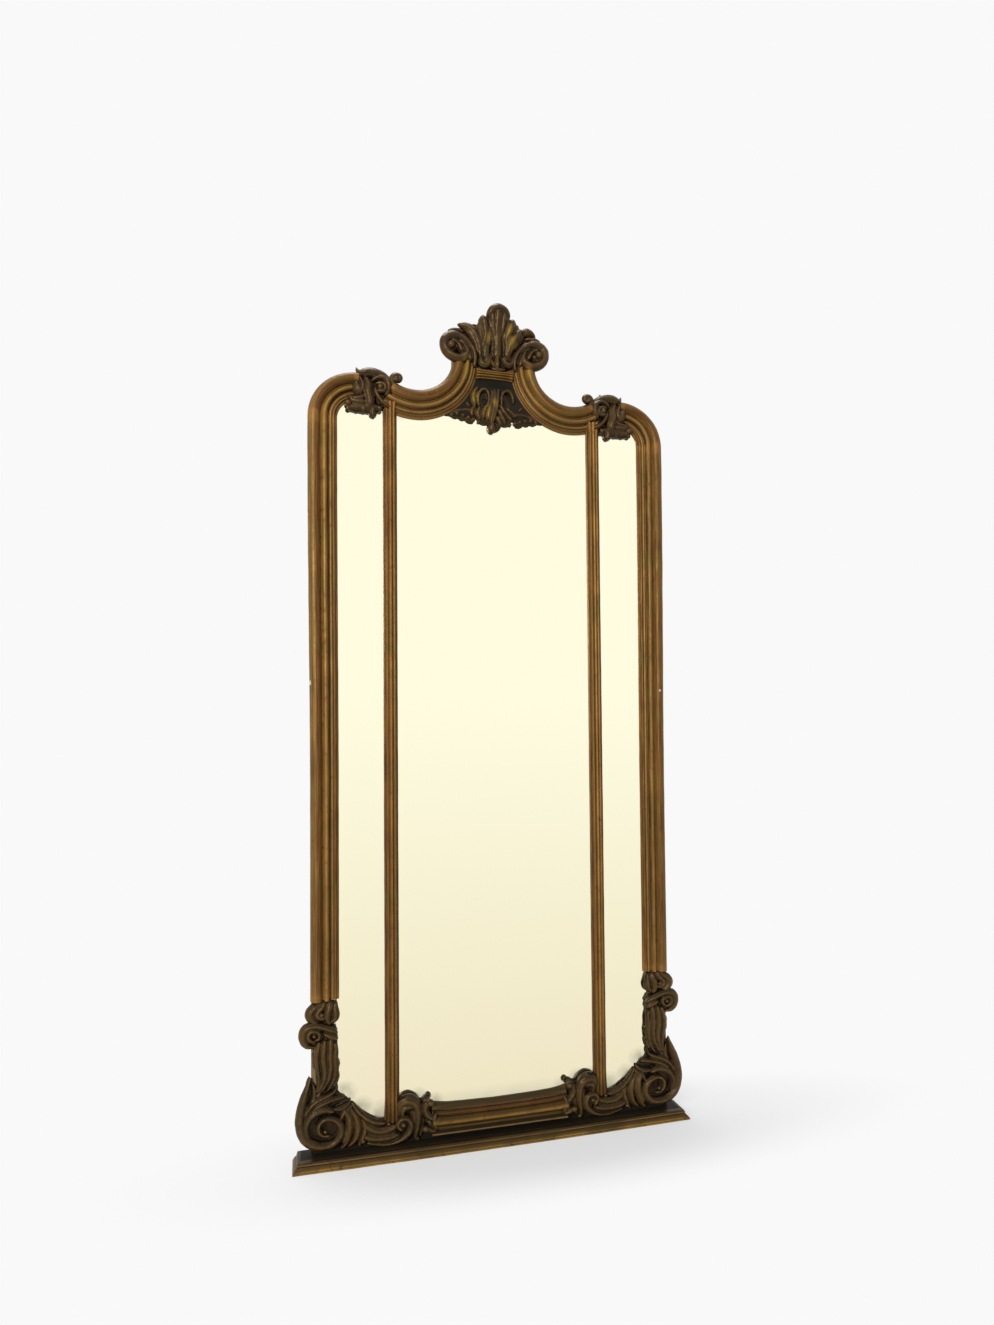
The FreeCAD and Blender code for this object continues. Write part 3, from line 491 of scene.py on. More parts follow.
def on_scroll(u, w):
    reach = SCROLL_INNER + u * MOULDING_WIDTH
    return (SCROLL_CENTRE.x + reach * math.cos(SCROLL_START), FACE_Y - w * MOULDING_RISE,
            SCROLL_CENTRE.z + reach * math.sin(SCROLL_START))


scroll = curved_run("scroll_right", [on_scroll(u, w) for u, w in WIDE_SECTION], SCROLL_CENTRE,
                    SCROLL_END - SCROLL_START, SCROLL_STEPS)
write_run(scroll, polar(SCROLL_CENTRE, SCROLL_INNER, False, SCROLL_RUN))
wavy(scroll, **WAVE)
for vertex in scroll.data.vertices:
    across, up = vertex.co.x - SCROLL_CENTRE.x, vertex.co.z - SCROLL_CENTRE.z
    reach = math.hypot(across, up)
    outer_share = max(0, 1 - (reach - SCROLL_INNER) / MOULDING_WIDTH)
    swell = SWELL * outer_share * max(0, -up / reach) ** 1.5
    vertex.co.x -= across / reach * swell
    vertex.co.z -= up / reach * swell
print("scroll box", [round(v, 3) for v in coordinates(scroll.data).min(0)],
      [round(v, 3) for v in coordinates(scroll.data).max(0)])

# %% [markdown]
# The mullions hide the joints between the three panes: narrow strips with three reeds, a little
# flared where they die into the carving at both ends.

# %% Mullions
MULLION_X, MULLION_WIDTH, MULLION_RISE = 244 * MM, 31 * MM, 14 * MM
MULLION_SHORT = 6 * MM  # the top ends this much lower, inside the clasp
TOP_FLARE, TOP_REACH, FOOT_FLARE, FOOT_REACH = 0.35, 35 * MM, 0.22, 50 * MM
mullion_low, mullion_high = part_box("mullion_right")
start = [(MULLION_X + (0.5 - u) * MULLION_WIDTH, FACE_Y - w * MULLION_RISE, mullion_low.z)
         for u, w in NARROW_SECTION]
mullion = straight_run("mullion_right", start,
                       (0, 0, mullion_high.z - MULLION_SHORT - mullion_low.z), UPRIGHT_STEPS)
for vertex in mullion.data.vertices:
    near_top = max(0, 1 - (mullion_high.z - vertex.co.z) / TOP_REACH) ** 2
    near_foot = max(0, 1 - (vertex.co.z - mullion_low.z) / FOOT_REACH) ** 2
    vertex.co.x += (vertex.co.x - MULLION_X) * (TOP_FLARE * near_top + FOOT_FLARE * near_foot)
write_run(mullion, lambda p: (p[2], 0.5 - (p[0] - MULLION_X) / MULLION_WIDTH, 0))
wavy(mullion, 0.7 * MM, 0.04)

# %% [markdown]
# Two mouldings lie level. The reeded bar under the crest flares a little at its ends. The
# moulding in the middle of the foot has a sloping top, a red-brown reed, a fat gilded torus, a
# hollow and a fillet over a shadow gap. Its top edge sags between the scrolled ends, so the
# points near the top are lifted towards both ends, which run on a little under the scrolls.

# %% Crest bar and foot moulding
RAIL_SECTION = smooth_section([
    (0, 0, "s"), (0, 0.10, "s"), (0.05, 0.20), (0.13, 0.34), (0.20, 0.42, "s"), (0.215, 0.36, "s"),
    (0.245, 0.52), (0.29, 0.60), (0.335, 0.54), (0.355, 0.44, "s"), (0.375, 0.44, "s"),
    (0.40, 0.68), (0.46, 0.90), (0.53, 0.98), (0.60, 0.92), (0.655, 0.74), (0.675, 0.62, "s"),
    (0.70, 0.50), (0.76, 0.42), (0.83, 0.46), (0.875, 0.62, "s"), (0.89, 0.74), (0.925, 0.78),
    (0.96, 0.72), (0.975, 0.55, "s"), (1, 0.5, "s"), (1, 0, "s")])
BAR_RISE, BAR_FLARE = 11 * MM, 0.18
RAIL_TONGUE, RAIL_SAG, RAIL_CURL, CURL_START = 7 * MM, 5 * MM, 4 * MM, 0.72


def level_run(name, low, high, section, back, rise, steps):
    start = [(low.x, back - w * rise, high.z - u * (high.z - low.z)) for u, w in section]
    return straight_run(name, start, (high.x - low.x, 0, 0), steps)


def write_level_run(piece, low, high):
    write_run(piece, lambda p: (p[0], (high.z - p[2]) / (high.z - low.z), 0))


low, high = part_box("crest_bar")
bar = level_run("bar", low, high, NARROW_SECTION, high.y, BAR_RISE, 16)
for vertex in bar.data.vertices:
    flare = BAR_FLARE * abs(vertex.co.x / high.x) ** 4
    vertex.co.z += (vertex.co.z - (low.z + high.z) / 2) * flare
write_level_run(bar, low, high)
wavy(bar, 0.6 * MM, 0.03)

low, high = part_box("bottom_moulding")
rail = level_run("rail", low, high, RAIL_SECTION, FACE_Y, FACE_Y - low.y, 60)
for vertex in rail.data.vertices:
    height = (vertex.co.z - low.z) / (high.z - low.z)
    out = abs(vertex.co.x) / high.x
    curl = RAIL_CURL * max(0, (out - CURL_START) / (1 - CURL_START)) ** 2
    vertex.co.z += (curl - RAIL_SAG * (1 - out ** 2)) * max(0, height) ** 1.6
    vertex.co.x *= 1 + RAIL_TONGUE / high.x
write_level_run(rail, low, high)
wavy(rail, 0.9 * MM, 0.04)
print("mullion, crest bar and foot moulding are run")

# %% [markdown]
# The plinth's ogee runs round three sides, mitred at the corners. Each side is a straight run,
# and its points are then moved along it so that both ends are cut at 45 degrees. The front is
# bowed: it stands further out in the middle than at the ends. After the wave the underside is
# pressed flat again, so that the plinth stands on the floor.

# %% Plinth mouldings
PLINTH_HEIGHT = 20 * MM
# Out is how far the section stands from the board; height is measured up from the floor.
PLINTH_SECTION = [(out * MM, height * MM) for out, height in smooth_section([
    (0, 0, "s"), (14.6, 0, "s"), (15.8, 1.0), (16, 2.4), (15.4, 3.8, "s"), (14.2, 4.4, "s"),
    (13.6, 6.4), (11.4, 8.8), (9.0, 10.6), (7.8, 12.2, "s"), (6.7, 12.6, "s"), (7.4, 14.4),
    (7.3, 16.0), (6.3, 17.2, "s"), (5.6, 17.6, "s"), (6.0, 18.8), (5.2, 19.8), (4, 20),
    (0, 20, "s")], 4)]
PUSH_ENDS, PUSH_MIDDLE, LEDGE = 5 * MM, 9 * MM, 4 * MM
board_low, board_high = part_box("plinth_board")


def pushed(out, share):
    """How far a point stands out, from the section and its share of the way to the end."""
    push = PUSH_MIDDLE + (PUSH_ENDS - PUSH_MIDDLE) * share ** 2
    return out + push * min(1, out / LEDGE)


start = [(-1, board_low.y - out, height) for out, height in PLINTH_SECTION]
plinth_front = straight_run("plinth_front", start, (2, 0, 0), 90)
for vertex in plinth_front.data.vertices:
    share, out = vertex.co.x, board_low.y - vertex.co.y
    vertex.co.x = share * (board_high.x + out)
    vertex.co.y = board_low.y - pushed(out, share)
write_run(plinth_front, lambda p: (p[0], p[2] / PLINTH_HEIGHT, 0))
start = [(board_high.x + out, 0, height) for out, height in PLINTH_SECTION]
plinth_side = straight_run("plinth_side", start, (0, 1, 0), 8)
for vertex in plinth_side.data.vertices:
    front_end = board_low.y - pushed(vertex.co.x - board_high.x, 1)
    vertex.co.y = front_end + vertex.co.y * (board_high.y - front_end)
write_run(plinth_side, lambda p: (p[1], p[2] / PLINTH_HEIGHT, 0))
edit_all(plinth_side, outward)
for piece in (plinth_front, plinth_side):
    wavy(piece, 0.8 * MM, 0.05)
    for vertex in piece.data.vertices:
        vertex.co.z = max(vertex.co.z, 0.0)
print("plinth mouldings are run")

# %% [markdown]
# Five mouldings come in pairs, left and right. The bar, the foot moulding and the plinth's front
# are single.

# %% Complete the mouldings
for piece, title, finish in (
        (stile, "stile_moulding", "wide_gilding"), (shoulder, "shoulder_moulding", "wide_gilding"),
        (scroll, "scroll_moulding", "wide_gilding"), (mullion, "mullion", "narrow_gilding"),
        (plinth_side, "plinth_moulding", "plinth_gilding")):
    print(title, "hollow and ridged shares", mark_relief(piece.data, 3, 2600))
    complete(mirrored_copy(piece), title + "_left", "run", finish)
    complete(piece, title + "_right", "run", finish)
for piece, title, finish in (
        (bar, "crest_bar", "gilding"), (rail, "bottom_moulding", "foot_gilding"),
        (plinth_front, "plinth_moulding_front", "plinth_gilding")):
    print(title, "hollow and ridged shares", mark_relief(piece.data, 3, 2600))
    complete(piece, title, "run", finish)

# %% [markdown]
# The carvings. On the real mirror they are carved or pressed leaves and scrolls, softened by
# thick layers of gesso and gilding. A carver draws the design as strokes with a gouge, and the
# same is done here: each line below is one ridge, as points of "across, height, lift, radius" in
# millimetres, and an indented line goes on with the ridge before it. The ridges and a thin ground
# are fused by a voxel remesh, which rounds the joints as gesso does. Modelling hundreds of
# overlapping lobes with extrusions alone would leave seams. First come the carvings of the foot.

# %% Strokes of the foot
STROKES = {}
# One long rim that winds into an eye, with leaf lobes at its sides.
STROKES["corner_volute"] = """
419,184,8,2  423,171,9,4  429,153,12,5.5  435,134,14,6.5  440,113,16,7  441,91,17,7  437,70,17,7
    427,54,17,7  410,43,16,7  390,39,15,6.5  371,42,15,6  357,54,16,6  353,71,17,5.8
    359,87,18,5.5  373,97,18,5  388,99,18,4.5  399,92,18,4.3  403,80,18,4  400,69,18,3.8
    391,63,18,3.5  380,64,19,3.5
372,111,14,5  388,117,15,6  405,114,15,6.5  418,105,15,6.5  428,91,15,6  429,76,15,5.5
    425,60,14,5  413,48,13,4.5
385,73,18,4  386,73,19,7.5  388,73,18,4
364,154,6,2.5  375,146,9,4.5  392,141,12,5  410,134,14,5.2  423,122,15,4.5  430,108,15,3
348,135,6,3  364,136,10,4.5  382,133,13,5  400,127,15,4.7  413,118,15,3.5
413,169,6,3  409,153,8,4.5  413,137,10,4.5  423,126,12,3.5
397,155,5,3  406,139,8,4.5  416,127,9,4
335,128,4,1.8  338,122,7,4  347,116,10,5.2  356,113,12,5  367,115,13,4
332,115,6,3  340,109,9,5  350,104,12,5  354,94,13,4
350,112,10,4  340,99,13,5.5  336,84,15,6  337,67,16,6  340,50,15,5.2  347,37,13,4.2  354,32,12,3
338,114,6,3  327,99,9,5  320,83,12,6  318,65,13,6  322,49,12,5.5  331,37,10,4.5  339,32,9,3
308,79,6,3.5  303,66,8,5  305,54,10,5  310,42,9,5  316,30,7,3.5
343,67,15,4  344,55,16,4.2  350,44,15,3.5
306,39,12,4.6  308,39,13,4.6
"""
# A hollow leaf that runs from the volute to a small curl under the mullion.
STROKES["base_scroll"] = """
331,120,4,2.5  322,105,7,4.5  309,91,9,4.8  293,79,10,5  276,72,10,4.6  261,71,10,3.5
313,88,3,4  303,70,5,7  288,57,6,9  269,52,6,9  251,54,7,8  235,62,8,6
309,48,6,5  293,41,8,7  272,38,9,7.5  251,38,9,7  233,42,9,6
298,30,6,3  272,24,8,3.2  249,24,10,3.8  229,29,12,4.8  212,39,14,5.5  203,55,15,5.8
    206,71,16,5.4  219,79,16,5  231,73,16,4.6  234,62,16,4.2  226,54,16,4
219,62,14,4.8  221,64,16,5.5
251,70,14,3.4  253,70,15,3.8
"""
# A humped leaf between the mullion and the foot moulding.
STROKES["rail_scroll"] = """
230,79,6,4  230,98,10,6.5  223,111,14,8  210,115,16,9  196,108,16,8.5  189,92,15,7.5
    188,73,14,6.8  190,54,12,6  193,39,10,5  194,29,9,3.5
203,100,16,5.5  214,102,16,6.5  222,97,15,6  223,84,12,4.5  218,78,12,3.5
197,92,12,6  196,76,11,6  199,61,9,5.5  203,45,7,5
191,29,9,4  190,28,9,4.2
163,106,20,7.6  162,106,20,7.6
165,105,17,6.6  172,99,16,6.2  174,88,16,5.6  168,77,17,5.4  155,69,19,5.4
179,87,6,5  178,67,6,6  180,49,6,6  183,34,5,5
173,51,19,8  173,51,19,8
167,49,18,6.6  161,46,18,5.4  151,42,18,4
149,83,17,4  154,70,21,5  152,56,20,5  148,46,18,4
166,62,9,6  158,57,10,8  152,55,10,8
"""
# A scroll at the outer edge, with long leaves hanging from it.
STROKES["console_leaf"] = """
411,249,10,3  425,252,14,5  433,264,16,6.2  435,277,17,6.8  431,290,18,6.5  420,296,19,6
    406,296,19,5.5  391,291,18,5.5  375,283,15,5.5  364,276,12,3.5
410,262,16,3.5  421,266,18,4.5  425,277,19,4.8  419,286,20,4.6  408,286,20,4.2  400,280,20,4
    400,270,20,3.8  407,267,20,3.2
410,276,20,3.2  411,276,21,4.2
388,276,15,5  375,269,14,6  365,263,11,5
401,258,13,5  404,240,14,5.2  406,222,14,5.2  404,204,13,5  401,185,12,4.5  402,165,10,3.5
    408,152,8,2.5
389,262,15,5  391,242,17,5.6  392,222,17,5.6  388,201,16,5.4  389,182,15,5  395,167,12,4.2
    404,152,9,2.8
377,261,14,4.6  377,246,16,5.2  378,226,17,5.6  376,204,16,5.4  379,183,14,5  387,167,12,4.2
    397,153,9,2.8
367,252,9,4  365,237,11,4.6  368,222,13,5.2  365,202,13,5.2  368,181,12,4.8  375,166,10,4.2
    385,152,8,3
362,215,7,3.4  361,207,8,4.2  365,198,9,3.6
362,189,7,3.4  362,179,8,4.4  367,167,9,3.6
364,163,6,3  365,153,7,4  373,146,8,3.5
413,236,8,3.4  411,221,10,4  412,206,9,3.4
"""
# A cup of leaves under the end of the upright moulding.
STROKES["stile_knop"] = """
399,343,10,5  407,336,13,6  418,327,15,7  421,318,16,7.4  416,307,15,6.5  403,297,14,5
    388,294,13,4
390,343,12,5  393,334,15,5.6  402,326,17,5  406,318,18,4.6  399,310,18,4.2  389,311,18,4
397,318,17,3.6  395,318,18,4.8
379,342,10,5.5  378,332,13,6.4  383,320,16,6  384,307,15,5.5  379,297,13,4.4
366,339,8,4  367,327,10,5  366,315,12,6.4  366,307,12,5.6  373,300,12,5
"""

# %% [markdown]
# The carvings of the shoulders, the crest and the tympanum are drawn in the same way.

# %% Strokes of the head
# A clasp of rolled leaves where shoulder, arch and mullion meet.
STROKES["shoulder_rosette"] = """
319,1737,5,1.6  317,1731,8,3.6  312,1724,12,5  302,1724,15,6.6  293,1726,16,7.4  282,1726,16,7.4
    270,1725,15,6.4  257,1721,14,6  248,1711,12,5.4  244,1700,10,4
265,1739,4,1.6  264,1732,8,3.4  259,1723,12,4
231,1717,14,7  231,1716,15,7
227,1711,14,3.4  221,1716,15,4.4  222,1724,15,5  231,1726,15,5.4  238,1721,14,5.6
    240,1711,13,5.8  237,1702,13,5.4  228,1692,11,5  215,1686,8,3.5
282,1708,15,4  275,1714,17,4.8  263,1716,18,5  253,1712,18,5.2  246,1701,17,5.4  248,1687,16,5
    254,1678,14,4
275,1700,18,3.6  266,1702,20,4  256,1698,21,4.2  255,1688,21,4  263,1682,21,3.8  271,1683,21,3.4
266,1692,20,4  267,1692,21,6
278,1689,17,3.4  275,1677,18,4  267,1665,17,4.4  257,1657,15,4.8  246,1653,12,4.4
320,1704,12,5  318,1690,16,8.5  313,1679,16,8.5  308,1674,14,5
317,1720,12,3.4  309,1706,17,4.2  304,1693,19,4.4  307,1679,19,4  315,1673,16,3
299,1712,14,5  291,1698,17,6.6  295,1680,18,8  289,1665,17,8  290,1652,13,8
330,1666,12,3.4  318,1664,15,4  305,1667,16,4  297,1676,17,3.4
336,1654,11,7.4  337,1653,11,7.8
336,1646,7,5.5  320,1647,8,7  303,1648,8,8  284,1648,8,8  267,1651,7,6.5
333,1671,9,4.5  328,1660,11,6  318,1657,12,7  303,1658,13,8
338,1642,5,4.6  337,1643,6,5.8
321,1646,7,7  317,1645,7,7.6
306,1645,9,8.5  303,1645,8,8
281,1629,4,3  282,1633,7,6.4  283,1640,9,6  280,1648,11,5
270,1648,10,6.5  267,1648,9,6
"""
# A ball-headed leaf between the two crest scrolls.
STROKES["crest_palmette"] = """
8,1897,20,15  7,1882,15,16  7,1864,10,15  7,1842,6,14  7,1819,3,14  7,1795,2,14
-12,1863,12,10  -16,1845,9,12  -20,1825,6,12  -21,1804,3,12  -19,1786,2,10
30,1863,12,10  34,1846,9,12  33,1826,6,12  32,1808,3,12  30,1792,2,10
-47,1857,6,8  -36,1841,7,11  -31,1823,6,11
70,1858,6,9  54,1842,7,12  46,1822,6,11
-15,1883,20,4.5  -15,1891,26,5.5  -8,1900,31,6.5  4,1904,33,7.2  17,1903,31,6.5  28,1896,26,5.5
    31,1888,20,4.5
5,1899,30,7  5,1885,27,6.4  4,1868,22,5.6  4,1852,17,5  3,1835,13,4  4,1815,10,3
-8,1887,27,6  -6,1870,22,5.6  -2,1852,16,5  1,1835,12,4
20,1891,27,6  20,1873,22,5.6  17,1854,16,5  12,1837,12,4
-14,1881,20,5  -10,1864,17,5  -6,1845,14,4.5  -4,1832,11,3.5
31,1887,20,5  29,1869,17,5  23,1849,14,4.5  18,1835,11,3.5
-29,1881,21,7  -28,1874,22,8.6  -24,1860,20,7.6  -22,1845,16,6.4  -24,1829,13,5  -31,1810,10,4
42,1880,21,7  40,1874,22,8  36,1861,20,7.6  30,1848,16,6.4  27,1832,13,5  32,1816,10,4
-38,1867,14,5  -35,1854,14,6  -32,1839,13,6  -33,1823,11,5
54,1874,14,5  51,1862,14,6  45,1846,13,6  40,1830,11,5
-85,1864,10,3.6  -74,1861,13,6  -59,1857,15,7.6  -48,1844,15,7.6  -40,1829,13,6.6
    -36,1813,11,5.6  -35,1795,10,4.6
-75,1855,8,4  -61,1848,12,5.4  -50,1834,13,5.4  -43,1819,12,5  -40,1803,10,4.4
72,1865,13,6.6  79,1864,14,7.4  91,1862,11,6  98,1855,8,4.5
62,1862,15,7  52,1849,17,8  42,1836,17,8.4  35,1821,14,6.6  33,1807,10,4.6
59,1848,13,5  47,1833,15,6  40,1818,12,5  37,1804,9,4
-34,1793,9,5  -33,1778,12,6  -22,1773,13,5.4  -13,1781,14,4.6  -15,1790,14,4  -23,1791,14,4
-22,1784,13,4  -21,1785,14,5
46,1803,9,5  44,1786,12,6  33,1779,13,5.4  23,1784,14,4.6  19,1793,14,4  26,1797,14,4
26,1791,13,4  24,1790,14,5
-9,1801,8,4  -11,1788,10,5  -2,1776,10,5
6,1809,11,4.4  6,1792,12,5  6,1774,11,6
-5,1769,7,5  7,1767,8,6  24,1770,7,5
"""
# The rolled end of the arch, with a knob as its eye.
STROKES["crest_scroll"] = """
49,1770,12,4  47,1785,14,4.6  50,1802,16,5  62,1819,18,5.4  79,1831,19,6  97,1835,20,6.6
    114,1829,20,7  122,1815,20,7.4  118,1796,20,7.2  103,1783,20,7  85,1780,20,7  71,1787,20,6.4
    66,1800,19,5.4  73,1812,18,4.6
60,1781,18,4.6  62,1794,17,4.6  71,1814,16,4.4  84,1824,16,4.4
80,1798,18,4.6  88,1815,19,4.8  101,1820,20,5
102,1807,20,6  105,1808,21,8.6
94,1806,14,6  104,1803,14,8  113,1812,14,8
76,1848,10,4  90,1848,14,5  107,1843,15,5
"""
# Two looped leaves and a tongue that ends in a bead.
STROKES["pendant_palmette"] = """
-38,1678,8,3  -41,1693,10,3.6  -39,1708,11,4  -30,1717,12,4.2  -20,1716,12,3.8  -15,1706,12,3.2
    -15,1691,12,3  -19,1676,11,3
16,1681,11,3  15,1695,12,3  17,1710,12,3.4  25,1719,12,4.2  36,1718,11,4.2  43,1707,10,3.6
    45,1692,8,3
-1,1719,10,3.4  -1,1698,14,4  -3,1679,15,4.2  -7,1657,14,4.4  -10,1641,12,4.6
8,1720,10,3.4  6,1699,14,4  4,1679,15,4.2  -2,1658,14,4.4  -7,1642,12,4.6
-7,1638,10,6  -8,1629,9,7  -8,1623,7,6
-41,1722,6,4  -51,1709,8,5.6  -53,1695,9,5.4  -48,1682,9,5
-7,1715,12,3.4  -8,1687,13,4  -14,1668,12,5  -17,1652,10,5.4
-22,1678,11,4.8  -28,1664,11,5.4  -27,1652,9,5
-37,1673,8,5.4  -42,1660,8,5.4  -36,1649,6,4.6
-48,1678,6,5  -55,1666,6,5  -54,1656,5,4.6
13,1682,12,4  20,1669,12,4.6  31,1658,10,4.6  39,1652,8,3.6
9,1670,12,4  16,1655,11,5  24,1645,8,4.6
30,1676,9,4.6  42,1667,8,5  51,1662,6,4.6
5,1655,10,4.6  10,1645,9,5  14,1640,7,4
"""
# A scalloped edge beside the pendant.
STROKES["fringe"] = """
106,1654,2,4  94,1663,3,4.4  80,1666,3,4.4  64,1669,4,4.6  48,1665,4,4.6
103,1653,2,3.6  102,1653,3,4.6
91,1657,3,4.2  89,1657,3,4.6
76,1655,3,4.2  75,1655,3,5
63,1652,3,4.2  62,1651,3,5
51,1648,3,4.2  50,1647,3,4.6
38,1644,3,3.8  38,1643,3,4.2
67,1686,2,4  61,1678,3,5
"""
print(len(STROKES), "carvings are drawn")

# %% [markdown]
# Each ridge becomes a NURBS curve with a round bevel, tapered at both tips. A broad body is sunk
# into the ground, and a narrower crest stands on it. A line of up to three points that nearly
# coincide is a knob, and becomes a small sphere.

# %% Ridges and knobs
KNOB_LENGTH = 4 * MM
BODY_SINK, CREST_RAISE, CREST_WIDTH = 0.75, 0.22, 0.80
TIP_REACH, TIP_WIDTH = 0.7, 0.3


def read_strokes(text):
    """Each ridge as a list of (place, radius), with the place in the frame, in metres."""
    lines = []
    for line in text.strip().replace("\n    ", "  ").splitlines():
        points = []
        for word in line.split():
            across, height, lift, radius = (float(v) * MM for v in word.split(","))
            points.append((Vector((across, FACE_Y - lift, height)), radius))
        lines.append(points)
    return lines


def is_knob(points):
    return len(points) <= 3 and (points[0][0] - points[-1][0]).length < KNOB_LENGTH


def add_knob(points):
    place, radius = points[-1]
    return add(bpy.ops.mesh.primitive_uv_sphere_add, segments=20, ring_count=12,
               radius=radius, location=place)


def spread_of(radius):
    """How far the base of a ridge spreads: wide leaves lie flatter than thin rims."""
    return 1.15 + 0.40 * min(1, max(0, radius / (3 * MM) - 1))


def add_ridges(name, lines):
    """One curve object whose splines are the ridges, made into a mesh."""
    curve = add(bpy.ops.curve.primitive_nurbs_path_add)
    curve.name = name
    curve.data.splines.clear()
    curve.data.bevel_depth, curve.data.bevel_resolution = 1.0, 3
    curve.data.use_fill_caps, curve.data.resolution_u = True, 5
    bodies = [[(place + Vector((0, BODY_SINK * radius, 0)), radius * spread_of(radius))
               for place, radius in points] for points in lines]
    crests = [[(place - Vector((0, CREST_RAISE * radius, 0)), radius * CREST_WIDTH)
               for place, radius in points] for points in lines]
    for points in bodies + crests:
        first, last = points[0], points[-1]
        lead = (first[0] - points[1][0]).normalized() * first[1] * TIP_REACH
        tail = (last[0] - points[-2][0]).normalized() * last[1] * TIP_REACH
        ends = [(first[0] + lead, first[1] * TIP_WIDTH), *points,
                (last[0] + tail, last[1] * TIP_WIDTH)]
        spline = curve.data.splines.new("NURBS")
        spline.points.add(len(ends) - 1)
        for point, (place, radius) in zip(spline.points, ends):
            point.co, point.radius = (*place, 1), radius
        spline.order_u, spline.use_endpoint_u = 3, True
    pick(curve)
    bpy.ops.object.convert(target="MESH")
    return bpy.context.object

# %% [markdown]
# Behind the ridges lies a thin ground, made from the plain construction solid, so that a carving
# covers the same place as in the construction model. Ridges, knobs and ground are joined, fused by
# the voxel remesh, cut flat at the carcase face, and smoothed a little.

# %% Carving one piece
VOXEL, GROUND_SHRINK = 1.15 * MM, 0.9
# Painted shade on a carving's flat ground, as a dark gap under it: start, fade and most.
GROUND_SHADE_STEP, GROUND_SHADE_FADE, GROUND_SHADE_MOST = 3 * MM, 5 * MM, 0.75


def ground_of(cad_node, depth):
    """A merged copy of the construction solid, made thin and drawn in."""
    ground = frame["nodes"][cad_node].copy()
    ground.data = ground.data.copy()
    ground.parent = None
    for key in list(ground.keys()):
        del ground[key]
    bpy.context.collection.objects.link(ground)
    edit_all(ground, lambda: bpy.ops.mesh.remove_doubles(threshold=0.01 * MM))
    ground.data.materials.clear()
    places = coordinates(ground.data)
    middle = (places.min(0) + places.max(0)) / 2
    scale = depth / (FACE_Y - places[:, 1].min())
    for vertex in ground.data.vertices:
        vertex.co.x = middle[0] + (vertex.co.x - middle[0]) * GROUND_SHRINK
        vertex.co.z = middle[2] + (vertex.co.z - middle[2]) * GROUND_SHRINK
        vertex.co.y = FACE_Y - (FACE_Y - vertex.co.y) * scale
    return ground


def shade_ground_gap(mesh, depth):
    """The flat ground between ridges gets painted shade, a dark gap under the carving, kept as
    hollow.
    """
    hollow = np.empty(len(mesh.vertices), dtype=np.float32)
    mesh.attributes["hollow"].data.foreach_get("value", hollow)
    lift = FACE_Y - coordinates(mesh)[:, 1]
    low = np.clip((depth + GROUND_SHADE_STEP - lift) / GROUND_SHADE_FADE, 0, GROUND_SHADE_MOST)
    write_attribute(mesh, "hollow", np.maximum(hollow, low))


def carve(name, cad_node, depth):
    lines = read_strokes(STROKES[name])
    parts = [add_knob(points) for points in lines if is_knob(points)]
    ridges = add_ridges(name, [points for points in lines if not is_knob(points)])
    parts += [ridges, ground_of(cad_node, depth)]
    pick(ridges)
    for part in parts:
        part.select_set(True)
    bpy.ops.object.join()
    piece = bpy.context.object
    bpy.ops.object.transform_apply(location=True, rotation=True, scale=True)
    apply_modifier(piece, "REMESH", mode="VOXEL", voxel_size=VOXEL, use_smooth_shade=True)
    edit_all(piece, lambda: bpy.ops.mesh.bisect(
        plane_co=(0, FACE_Y, 0), plane_no=(0, 1, 0), use_fill=True, clear_outer=True))
    apply_modifier(piece, "SMOOTH", factor=0.5, iterations=4)
    wavy(piece, 1.3 * MM, 0.012)
    print(name, "hollow and ridged shares", mark_relief(piece.data, 9, 1500))
    shade_ground_gap(piece.data, depth)
    return piece

# %% [markdown]
# Eight carvings come in pairs, so each is carved once and mirrored. The crest leaf and the
# pendant stand alone in the middle and keep the small unevenness of handwork. The numbers are the
# thickness of each ground in millimetres.

# %% Carve everything
PAIRED = {"corner_volute": 4, "base_scroll": 4, "rail_scroll": 4, "console_leaf": 9,
          "stile_knop": 9, "shoulder_rosette": 8, "crest_scroll": 9, "fringe": 3}
SINGLE = {"crest_palmette": 10, "pendant_palmette": 5}
for name, depth in PAIRED.items():
    piece = carve(name, name + "_right", depth * MM)
    finish = "dark_carving" if name == "fringe" else "carving"
    complete(mirrored_copy(piece), name + "_left", "carved", finish)
    complete(piece, name + "_right", "carved", finish)
for name, depth in SINGLE.items():
    complete(carve(name, name, depth * MM), name, "carved", "carving")

# %% [markdown]
# Finishes. The gilding is old: metal leaf over red clay (bole) over white gesso, toned brown by
# age. It is rubbed to lighter gold on ridges, which is also a painted highlight, dark in hollows
# with dirt and painted shade, red where the leaf has worn away, and darker wherever it faces up,
# partly dust and partly painted shade. The attributes written above say where ridges and hollows
# are.
# All the gilded finishes share this one effect, so it is a node group with named sockets.

# %% Old gilding as a node group
def mix_color(tree, share, a, b):
    """A mix of two colours; a plain colour is given as three numbers."""
    a, b = ((*color, 1) if isinstance(color, tuple) else color for color in (a, b))
    return node(tree, "ShaderNodeMix", {"Factor": share, 6: a, 7: b},
                data_type="RGBA", clamp_factor=True).outputs[2]


def noise(tree, place, scale, detail=3.0, roughness=0.55):
    return node(tree, "ShaderNodeTexNoise", {
        "Vector": place, "Scale": scale, "Detail": detail, "Roughness": roughness}).outputs["Fac"]


def new_group(name, inputs, outputs):
    """An empty node group; each socket is given by its name and what it carries."""
    group = bpy.data.node_groups.new(name, "ShaderNodeTree")
    for direction, sockets in (("INPUT", inputs), ("OUTPUT", outputs)):
        for label, kind in sockets.items():
            group.interface.new_socket(label, in_out=direction, socket_type="NodeSocket" + kind)
    return group, group.nodes.new("NodeGroupInput").outputs, group.nodes.new("NodeGroupOutput")


